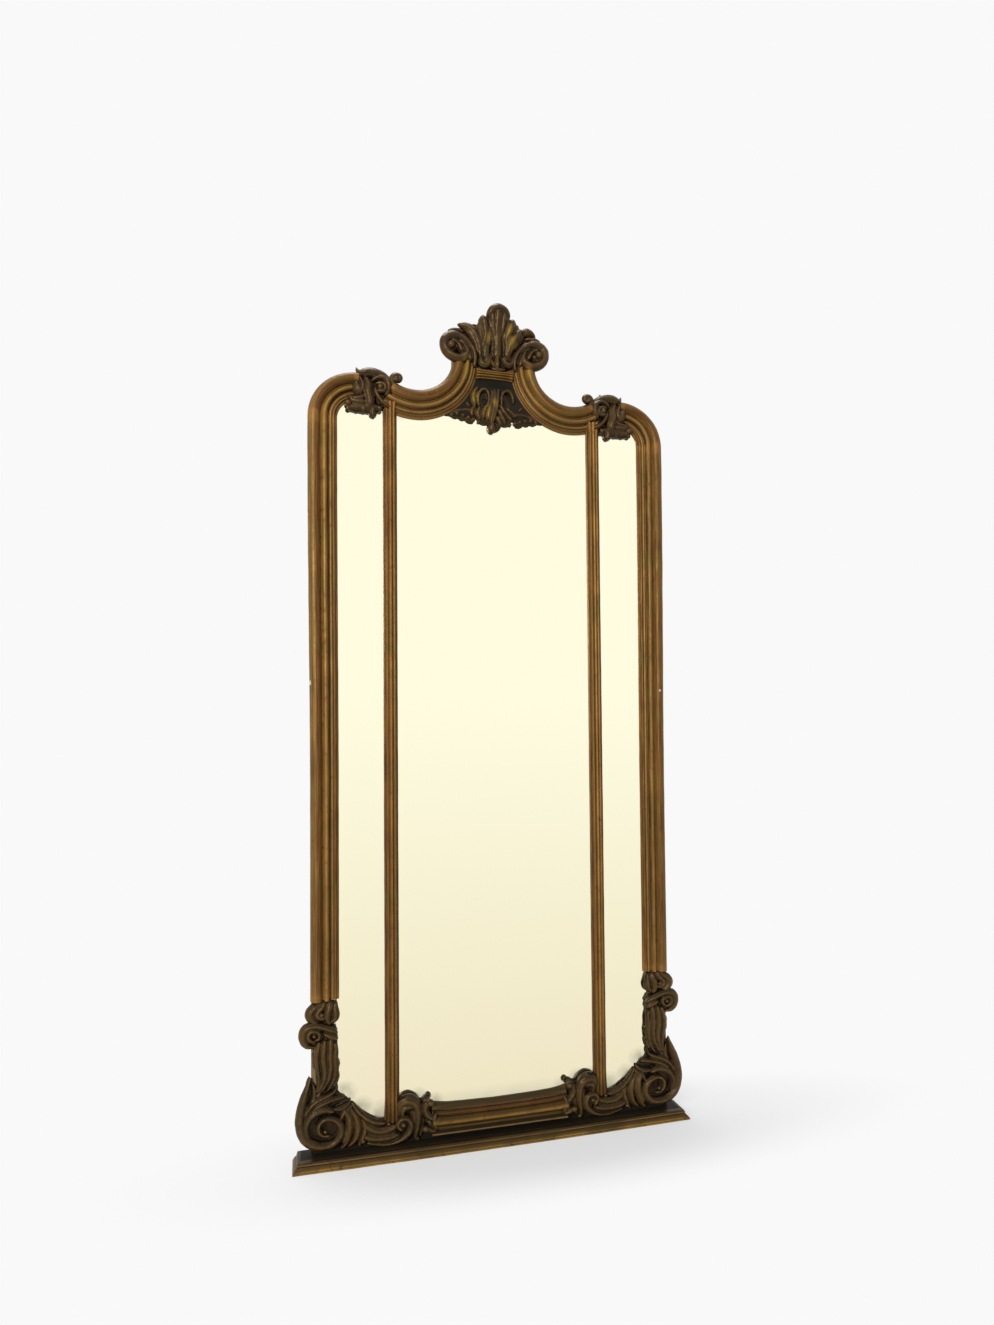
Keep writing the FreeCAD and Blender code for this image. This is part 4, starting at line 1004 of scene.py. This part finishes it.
aged, given, result = new_group("aged_gilding", {
    "Place": "Vector", "Run": "Vector", "Ridge": "Float", "Hollow": "Float", "Toned": "Color",
    "Leaf": "Color", "Rubbed_and_highlight": "Color", "Bole": "Color", "Dirt_and_shade": "Color", "Green": "Color",
    "Rub_and_highlight": "Float", "Grime_and_shade": "Float", "Up": "Float"},
    {"Color": "Color", "Wear_and_shade": "Float", "Height": "Float"})
patches = noise(aged, given["Place"], 9.0, 4.0)
small = noise(aged, given["Place"], 70.0, 5.0, 0.62)
fine = noise(aged, given["Place"], 420.0)
streaks = noise(aged, stretch(aged, given["Run"], (9.0, 26.0, 1.0)), 1.0, 4.0, 0.6)
color = mix_color(aged, remap(aged, patches, 0.43, 0.58), given["Toned"], given["Leaf"])
color = mix_color(aged, remap(aged, streaks, 0.46, 0.66, 0.0, 0.55), color, given["Rubbed_and_highlight"])
greened = remap(aged, noise(aged, given["Place"], 13.0, 2.0), 0.50, 0.66, 0.0, 0.5)
color = mix_color(aged, greened, color, given["Green"])
worn_through = math_node(aged, "ADD", small, math_node(aged, "MULTIPLY", given["Ridge"], 0.10))
color = mix_color(aged, remap(aged, worn_through, 0.58, 0.68, 0.0, 0.75), color, given["Bole"])
# Lighter gold on ridges: rubbed leaf, and also a painted highlight.
rub_and_highlight = math_node(aged, "MULTIPLY", math_node(aged, "POWER", given["Ridge"], 1.4), given["Rub_and_highlight"])
rub_and_highlight = math_node(aged, "MULTIPLY", rub_and_highlight, remap(aged, small, 0.35, 0.6, 0.35, 1.0), clamp=True)
color = mix_color(aged, rub_and_highlight, color, given["Rubbed_and_highlight"])
# Dark in hollows: dirt and patina, and also painted shade between the ridges.
grime = math_node(aged, "MULTIPLY", given["Hollow"], given["Grime_and_shade"])
grime = math_node(aged, "ADD", grime, remap(aged, fine, 0.60, 0.72, 0.0, 0.25), clamp=True)
color = mix_color(aged, grime, color, given["Dirt_and_shade"])
# Darker where the surface faces up: partly dust, partly painted shade on upper edges.
dust = remap(aged, given["Up"], 0.12, 0.75, 0.0, 0.86)
feed(aged, result, {
    "Color": mix_color(aged, dust, color, given["Dirt_and_shade"]),
    "Wear_and_shade": math_node(aged, "MAXIMUM", grime, dust),
    "Height": math_node(aged, "ADD", math_node(aged, "MULTIPLY", small, 0.7),
                        math_node(aged, "MULTIPLY", fine, 0.3))})
print("aged gilding group:", len(aged.nodes), "nodes")

# %% [markdown]
# Some marks lie at one spot of the frame. White gesso shows in a few small ragged chips. Bright
# leaf, which is also a painted highlight, lies in upright oval patches (gilt and highlight), and a
# few eyes of the carving get painted shade (deep shade).
# All are judged by place on the object, so that they stay put from every side.

# %% Marks at single spots
# Chips: a point and a radius in mm. Gilt highlights and deep shade: across, height, and a reach in
# mm.
CHIPS = [((-0.421, 0.004, 1.40), 4.0), ((-0.419, 0.0, 1.03), 5.5), ((0.419, 0.002, 0.885), 5.0),
         ((0.405, -0.0125, 1.02), 2.5), ((0.255, -0.004, 0.52), 3.0)]
DEEP_SHADE = [((-0.01, 1.814), 5.5), ((-0.026, 1.694), 5.5), ((0.029, 1.697), 5.5)]
GILT_AND_HIGHLIGHT = [((0.041, 1.834), 13), ((0.033, 1.857), 9), ((-0.047, 1.696), 11), ((-0.019, 1.666), 11),
        ((-0.002, 1.686), 7), ((-0.015, 1.836), 9), ((-0.159, 0.091), 9), ((-0.166, 0.029), 9),
        ((-0.071, 1.768), 12), ((0.079, 1.767), 12)]
OVAL = 0.5  # heights count half, so a spot is twice as tall as wide


def chip_mask(tree, place):
    """One inside the chips, with a ragged edge."""
    total, ragged = 0.0, noise(tree, place, 350, 2.0, 0.5)
    for centre, radius in CHIPS:
        reach = math_node(tree, "MULTIPLY", ragged, radius * 2 * MM)
        inside = math_node(tree, "LESS_THAN", distance(tree, place, centre), reach)
        total = math_node(tree, "MAXIMUM", inside, total)
    return total


def spot_mask(tree, place, spots, core):
    """Nearly one within the core share of each spot's reach, fading out to its edge."""
    total, flat = 0.0, stretch(tree, place, (1, 0, OVAL))
    for (across, height), reach in spots:
        away = distance(tree, flat, (across, 0, height * OVAL))
        share = remap(tree, away, reach * MM, reach * core * MM, 0.0, 0.9)
        total = math_node(tree, "MAXIMUM", share, total)
    return total

# %% [markdown]
# Each gilded finish is one material: the shared effect, bands of colour across a moulding, partly
# its own colour and partly painted shade and highlight, its marks, and a shader that is part metal
# where the leaf is clean.

# %% One gilded finish
GESSO, BRIGHT_LEAF_AND_HIGHLIGHT, SHEEN = (0.75, 0.72, 0.66), (0.33, 0.195, 0.036), (0.95, 0.66, 0.34, 1)


def attribute(tree, name, output):
    return node(tree, "ShaderNodeAttribute", {}, attribute_name=name).outputs[output]


def axis_of(tree, vector, axis):
    return node(tree, "ShaderNodeSeparateXYZ", {0: vector}).outputs[axis]


def facing(tree, axis):
    """How far the surface faces along an axis."""
    return axis_of(tree, node(tree, "ShaderNodeNewGeometry", {}).outputs["Normal"], axis)


def raised(tree, height, strength, depth):
    return node(tree, "ShaderNodeBump", {
        "Height": height, "Strength": strength, "Distance": depth}).outputs["Normal"]


def band_ramp(tree, across, bands, light):
    """Colours laid across a moulding, from edge to edge, all lighter or darker at once."""
    ramp = node(tree, "ShaderNodeValToRGB", {"Fac": across})
    stops = ramp.color_ramp.elements
    for index, (share, color) in enumerate((bands[0], bands[-1], *bands[1:-1])):
        stop = stops[index] if index < 2 else stops.new(share)
        stop.position, stop.color = share, (*(light * value for value in color), 1)
    return ramp.outputs["Color"]


def gilded(name, tones, roughness, rub_and_highlight, grime, metallic=0.30, bump=0.45, bands=(), light=1.0,
           chips=False, gilt_and_highlight=False, dark_foot=False):
    material, tree, shader = new_material(name)
    place, run, dirt_and_shade = object_place(tree), attribute(tree, "run", "Vector"), tones["Dirt_and_shade"]
    tones = {label: (*color, 1) for label, color in tones.items()}
    if bands:
        tones["Leaf"] = band_ramp(tree, axis_of(tree, run, "Y"), bands, light)
        tones["Toned"] = mix_color(tree, 0.35, tones["Leaf"], dirt_and_shade)
    old = node(tree, "ShaderNodeGroup", {
        "Place": place, "Run": run, "Up": facing(tree, "Z"), "Rub_and_highlight": rub_and_highlight, "Grime_and_shade": grime,
        "Ridge": attribute(tree, "ridge", "Fac"), "Hollow": attribute(tree, "hollow", "Fac"),
        **tones}, node_tree=aged).outputs
    color, shine = old["Color"], remap(tree, old["Wear_and_shade"], 0.0, 1.0, metallic, 0.0)
    if chips:
        mask = chip_mask(tree, place)
        color = mix_color(tree, mask, color, GESSO)
        shine = math_node(tree, "MULTIPLY", shine, math_node(tree, "SUBTRACT", 1.0, mask))
    if dark_foot:
        foot = remap(tree, axis_of(tree, place, "Z"), 0.125, 0.085, 0.0, 0.75)
        color = mix_color(tree, foot, color, dirt_and_shade)
    # Bright leaf spots that are also a painted highlight, and painted shade in deep eyes.
    if gilt_and_highlight:
        clean = remap(tree, old["Wear_and_shade"], 0.2, 0.7, 1.0, 0.0)
        share = math_node(tree, "MULTIPLY", spot_mask(tree, place, GILT_AND_HIGHLIGHT, 0.0), clean)
        color = mix_color(tree, share, color, BRIGHT_LEAF_AND_HIGHLIGHT)
        color = mix_color(tree, spot_mask(tree, place, DEEP_SHADE, 0.6), color, dirt_and_shade)
    feed(tree, shader, {
        "Base Color": color, "Metallic": shine, "Specular IOR Level": 0.35, "Specular Tint": SHEEN,
        "Roughness": remap(tree, old["Height"], 0.3, 0.7, roughness - 0.08, roughness + 0.12),
        "Normal": raised(tree, old["Height"], bump, 0.6 * MM)})
    FINISHES[name] = material

# %% [markdown]
# The long mouldings are brown-gold, with a lighter torus and painted shade in the grooves. On the
# mullions both edges carry painted shade, and the colour darkens towards the foot, by the carving.

# %% Gilding of the mouldings
GILDING_TONES = {
    "Toned": (0.155, 0.070, 0.014), "Leaf": (0.250, 0.125, 0.026), "Rubbed_and_highlight": (0.44, 0.235, 0.065),
    "Bole": (0.200, 0.060, 0.018), "Dirt_and_shade": (0.040, 0.017, 0.006), "Green": (0.165, 0.108, 0.024)}
OUTER, UMBER, LIGHT = (0.165, 0.092, 0.023), (0.125, 0.050, 0.016), (0.34, 0.190, 0.048)
# SHADE is painted shade, in the grooves and on the mullions' edges.
SHADE, SAND, EDGE = (0.065, 0.028, 0.012), (0.29, 0.165, 0.050), (0.165, 0.074, 0.024)
gilded("gilding", GILDING_TONES, roughness=0.42, rub_and_highlight=0.55, grime=0.55)
gilded("narrow_gilding", GILDING_TONES, roughness=0.42, rub_and_highlight=0.50, grime=0.60, dark_foot=True,
       light=1.4, bands=(
           (0.0, SHADE), (0.10, SHADE), (0.24, UMBER), (0.36, LIGHT), (0.46, EDGE),
           (0.56, LIGHT), (0.66, UMBER), (0.80, OUTER), (0.90, SHADE), (1.0, SHADE)))
gilded("wide_gilding", GILDING_TONES, roughness=0.42, rub_and_highlight=0.50, grime=0.60, chips=True, gilt_and_highlight=True,
       bands=(
           (0.0, OUTER), (0.15, OUTER), (0.24, UMBER), (0.36, UMBER), (0.44, LIGHT), (0.58, LIGHT),
           (0.66, SHADE), (0.72, SAND), (0.82, SAND), (0.88, UMBER), (0.93, EDGE), (1.0, EDGE)))

# %% [markdown]
# The foot is darker. Its moulding is olive above, then red, gold and brown, with a tan fillet.
# The plinth is bright at the floor, with a tan band of painted highlight and a nearly black band
# of painted shade along its top. The carvings are the darkest: purple-brown, with gold only where
# they are rubbed, which is also a painted highlight. The fringe is rubbed least.

# %% Gilding of the foot and the carvings
OLIVE, RED, GOLD = (0.036, 0.030, 0.012), (0.135, 0.042, 0.014), (0.235, 0.120, 0.018)
BROWN, TAN, PLINTH_TOP_SHADE = (0.052, 0.030, 0.012), (0.21, 0.135, 0.055), (0.010, 0.008, 0.006)
BRIGHT, RUST = (0.420, 0.235, 0.040), (0.150, 0.062, 0.018)
FOOT_TONES = {"Rubbed_and_highlight": (0.24, 0.135, 0.042), "Bole": (0.11, 0.035, 0.014),
              "Dirt_and_shade": (0.014, 0.009, 0.005), "Green": (0.075, 0.060, 0.016)}
gilded("foot_gilding", FOOT_TONES, roughness=0.38, rub_and_highlight=0.55, grime=1.0, light=1.6, bands=(
    (0.0, OLIVE), (0.19, OLIVE), (0.23, RED), (0.34, RED), (0.39, GOLD), (0.56, GOLD),
    (0.66, BROWN), (0.85, BROWN), (0.89, TAN), (1.0, TAN)))
# On the plinth the tan band is a painted highlight and the black top band painted shade.
gilded("plinth_gilding", FOOT_TONES, roughness=0.38, rub_and_highlight=0.55, grime=0.9, bands=(
    (0.0, BRIGHT), (0.46, BRIGHT), (0.54, RUST), (0.62, BROWN), (0.68, RUST), (0.76, TAN),
    (0.84, TAN), (0.92, OLIVE), (0.97, PLINTH_TOP_SHADE), (1.0, PLINTH_TOP_SHADE)))
CARVING_TONES = {
    "Toned": (0.026, 0.014, 0.012), "Leaf": (0.064, 0.036, 0.013), "Rubbed_and_highlight": (0.235, 0.135, 0.042),
    "Bole": (0.085, 0.030, 0.018), "Dirt_and_shade": (0.0060, 0.0045, 0.0035),
    "Green": (0.038, 0.036, 0.015)}
gilded("carving", CARVING_TONES, roughness=0.34, rub_and_highlight=1.0, grime=1.25, metallic=0.25, bump=0.5,
       gilt_and_highlight=True)
gilded("dark_carving", CARVING_TONES, roughness=0.40, rub_and_highlight=0.25, grime=1.2, metallic=0.25, bump=0.5)
print("gilding and carving finishes are made")

# %% [markdown]
# The panes are old silvered plate: slightly yellow from age, with a painted reflection of a cream
# room, and darker towards the foot, a painted reflection of the floor. Grey patches along the
# lower edges and by the mullions are partly stains where damp has lifted the silver and partly a
# painted reflection of the frame, and there are a few dark specks.
# A ray that arrives from a dull surface finds the pane nearly black, so that the pane throws no
# bright patch on the floor and the soft shadow in front of the plinth stays, as in the studio.
# The backs of the panes are covered with dull red-brown paint, which protects the silver.

# %% Mirror glass
# Damp spots, partly a painted reflection of the frame, each "across from the middle, height" and
# reach, on both sides alike.
STAINS_AND_FRAME_REFLECTIONS = [((0.266, 0.086), 0.036), ((0.222, 0.104), 0.034), ((0.190, 0.106), 0.032),
          ((0.150, 0.094), 0.028), ((0.312, 0.100), 0.034), ((0.345, 0.140), 0.030),
          ((0.262, 1.665), 0.035), ((0.226, 1.655), 0.030)]
FOOT_TINT_AND_FLOOR_REFLECTION, TOP_TINT_AND_ROOM_REFLECTION, STAIN_AND_REFLECTION_GREY = (0.86, 0.79, 0.56), (1.0, 0.975, 0.745), (0.24, 0.24, 0.19)
BACK_PAINT, UNSEEN = (0.085, 0.045, 0.032), (0.02, 0.02, 0.02)
material, tree, shader = new_material("mirror_glass")
place = object_place(tree)
height = axis_of(tree, place, "Z")
# Old silver's yellow plus a painted reflection: a cream room above, the floor at the foot.
tint_and_reflection = mix_color(tree, remap(tree, height, 0.12, 1.0), FOOT_TINT_AND_FLOOR_REFLECTION, TOP_TINT_AND_ROOM_REFLECTION)
either_side = math_node(tree, "ABSOLUTE", axis_of(tree, place, "X"))
corner = node(tree, "ShaderNodeCombineXYZ", {"X": either_side, "Z": height}).outputs[0]
# Greyer along the lower edge and at the spots: damp stains and a painted reflection of the frame.
damp_and_reflection = remap(tree, height, 0.12, 0.07, 0.0, 0.5)
for (across, up), reach in STAINS_AND_FRAME_REFLECTIONS:
    stain_and_reflection = remap(tree, distance(tree, corner, (across, 0, up)), reach, reach * 0.35)
    damp_and_reflection = math_node(tree, "MAXIMUM", damp_and_reflection, stain_and_reflection)
clouded = remap(tree, noise(tree, place, 22.0, 4.0), 0.36, 0.66, 0.3, 1.0)
specks = math_node(tree, "MULTIPLY", remap(tree, noise(tree, place, 380.0, 2.0), 0.74, 0.78),
                   remap(tree, noise(tree, place, 5.0, 2.0), 0.55, 0.68))
damp_and_reflection = math_node(tree, "MAXIMUM", math_node(tree, "MULTIPLY", damp_and_reflection, clouded), specks)
stain_and_reflection = math_node(tree, "MULTIPLY", damp_and_reflection, 0.5)
painted = math_node(tree, "GREATER_THAN", facing(tree, "Y"), 0.5)
color = mix_color(tree, painted, mix_color(tree, stain_and_reflection, tint_and_reflection, STAIN_AND_REFLECTION_GREY), BACK_PAINT)
from_dull = node(tree, "ShaderNodeLightPath", {}).outputs["Is Diffuse Ray"]
feed(tree, shader, {
    "Base Color": mix_color(tree, from_dull, color, UNSEEN), "Metallic": 1.0,
    "Roughness": math_node(tree, "MAXIMUM", remap(tree, stain_and_reflection, 0.0, 0.5, 0.02, 0.35),
                           math_node(tree, "MULTIPLY", painted, 0.8))})
FINISHES["mirror_glass"] = material
print("mirror finish is made")

# %% [markdown]
# Bare wood and metal. Pine has long grain with darker lines, greyed by dust, and is dark just
# above the plinth. The plinth and the tympanum are stained nearly black. Hangers and screws are
# dull steel with a little rust.

# %% Pine, dark wood and steel
NEAR_FLOOR_DARK = (0.020, 0.016, 0.011)
GRAIN = {"X": (1.6, 26, 26), "Z": (26, 26, 1.6)}


def grained(name, along, pale, dark, grime, roughness=0.6):
    """Wood whose grain runs along one axis."""
    material, tree, shader = new_material(name)
    place = object_place(tree)
    grain = stretch(tree, place, GRAIN[along])
    fibres = noise(tree, grain, 14.0, 3.0, 0.7)
    color = mix_color(tree, remap(tree, noise(tree, grain, 2.2, 5.0, 0.6), 0.40, 0.62), pale, dark)
    color = mix_color(tree, remap(tree, fibres, 0.55, 0.75, 0.0, 0.4), color, dark)
    dust = remap(tree, noise(tree, place, 7.0, 4.0), 0.45, 0.7, 0.0, 0.65)
    color = mix_color(tree, dust, color, grime)
    # Darker just above the plinth.
    near_floor = remap(tree, axis_of(tree, place, "Z"), 0.055, 0.045)
    feed(tree, shader, {
        "Base Color": mix_color(tree, near_floor, color, NEAR_FLOOR_DARK), "Specular IOR Level": 0.06,
        "Roughness": remap(tree, fibres, 0.3, 0.7, roughness - 0.08, roughness + 0.15),
        "Normal": raised(tree, fibres, 0.35, 0.5 * MM)})
    FINISHES[name] = material


grained("pine_upright", "Z", (0.40, 0.26, 0.13), (0.24, 0.135, 0.06), (0.21, 0.165, 0.11))
grained("pine_level", "X", (0.38, 0.245, 0.12), (0.22, 0.125, 0.055), (0.20, 0.155, 0.105))
grained("dark_wood", "X", (0.034, 0.026, 0.017), (0.014, 0.012, 0.009), (0.040, 0.036, 0.026),
        roughness=0.45)
material, tree, shader = new_material("steel")
place = object_place(tree)
cloudy = noise(tree, place, 60.0, 4.0)
steel = mix_color(tree, remap(tree, cloudy, 0.42, 0.62), (0.40, 0.385, 0.36), (0.24, 0.215, 0.19))
rust = remap(tree, noise(tree, place, 150.0, 5.0, 0.7), 0.60, 0.70, 0.0, 0.7)
feed(tree, shader, {
    "Base Color": mix_color(tree, rust, steel, (0.12, 0.055, 0.025)),
    "Metallic": remap(tree, rust, 0.0, 0.7, 0.9, 0.1),
    "Roughness": remap(tree, cloudy, 0.3, 0.7, 0.32, 0.55),
    "Normal": raised(tree, noise(tree, place, 700.0, 2.0), 0.2, 0.2 * MM)})
FINISHES["steel"] = material
print("finishes:", sorted(FINISHES))

# %% [markdown]
# The new pieces now get their finishes. A CAD node that no piece stands for keeps its own mesh
# and gets the finish of its slot; pine takes its grain along the board.

# %% Give every piece its finish
LEVEL_PINE = ("head_board", "bottom_rail", "batten_lower", "batten_upper")
slots = {row["node"]: row["material_slot"] for row in frame["record"]["subparts"]}
for name, part in frame["nodes"].items():
    if not part.hide_render:
        finish = slots[name]
        if finish == "pine":
            finish = "pine_level" if name in LEVEL_PINE else "pine_upright"
        WAITING.append((part, finish))
for piece, finish in WAITING:
    piece.data.materials.clear()
    piece.data.materials.append(FINISHES[finish])
    print(piece.name, "->", finish)

# %% Size of the visual model
low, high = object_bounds()
print("visual box", [round(v, 4) for v in low], [round(v, 4) for v in high])
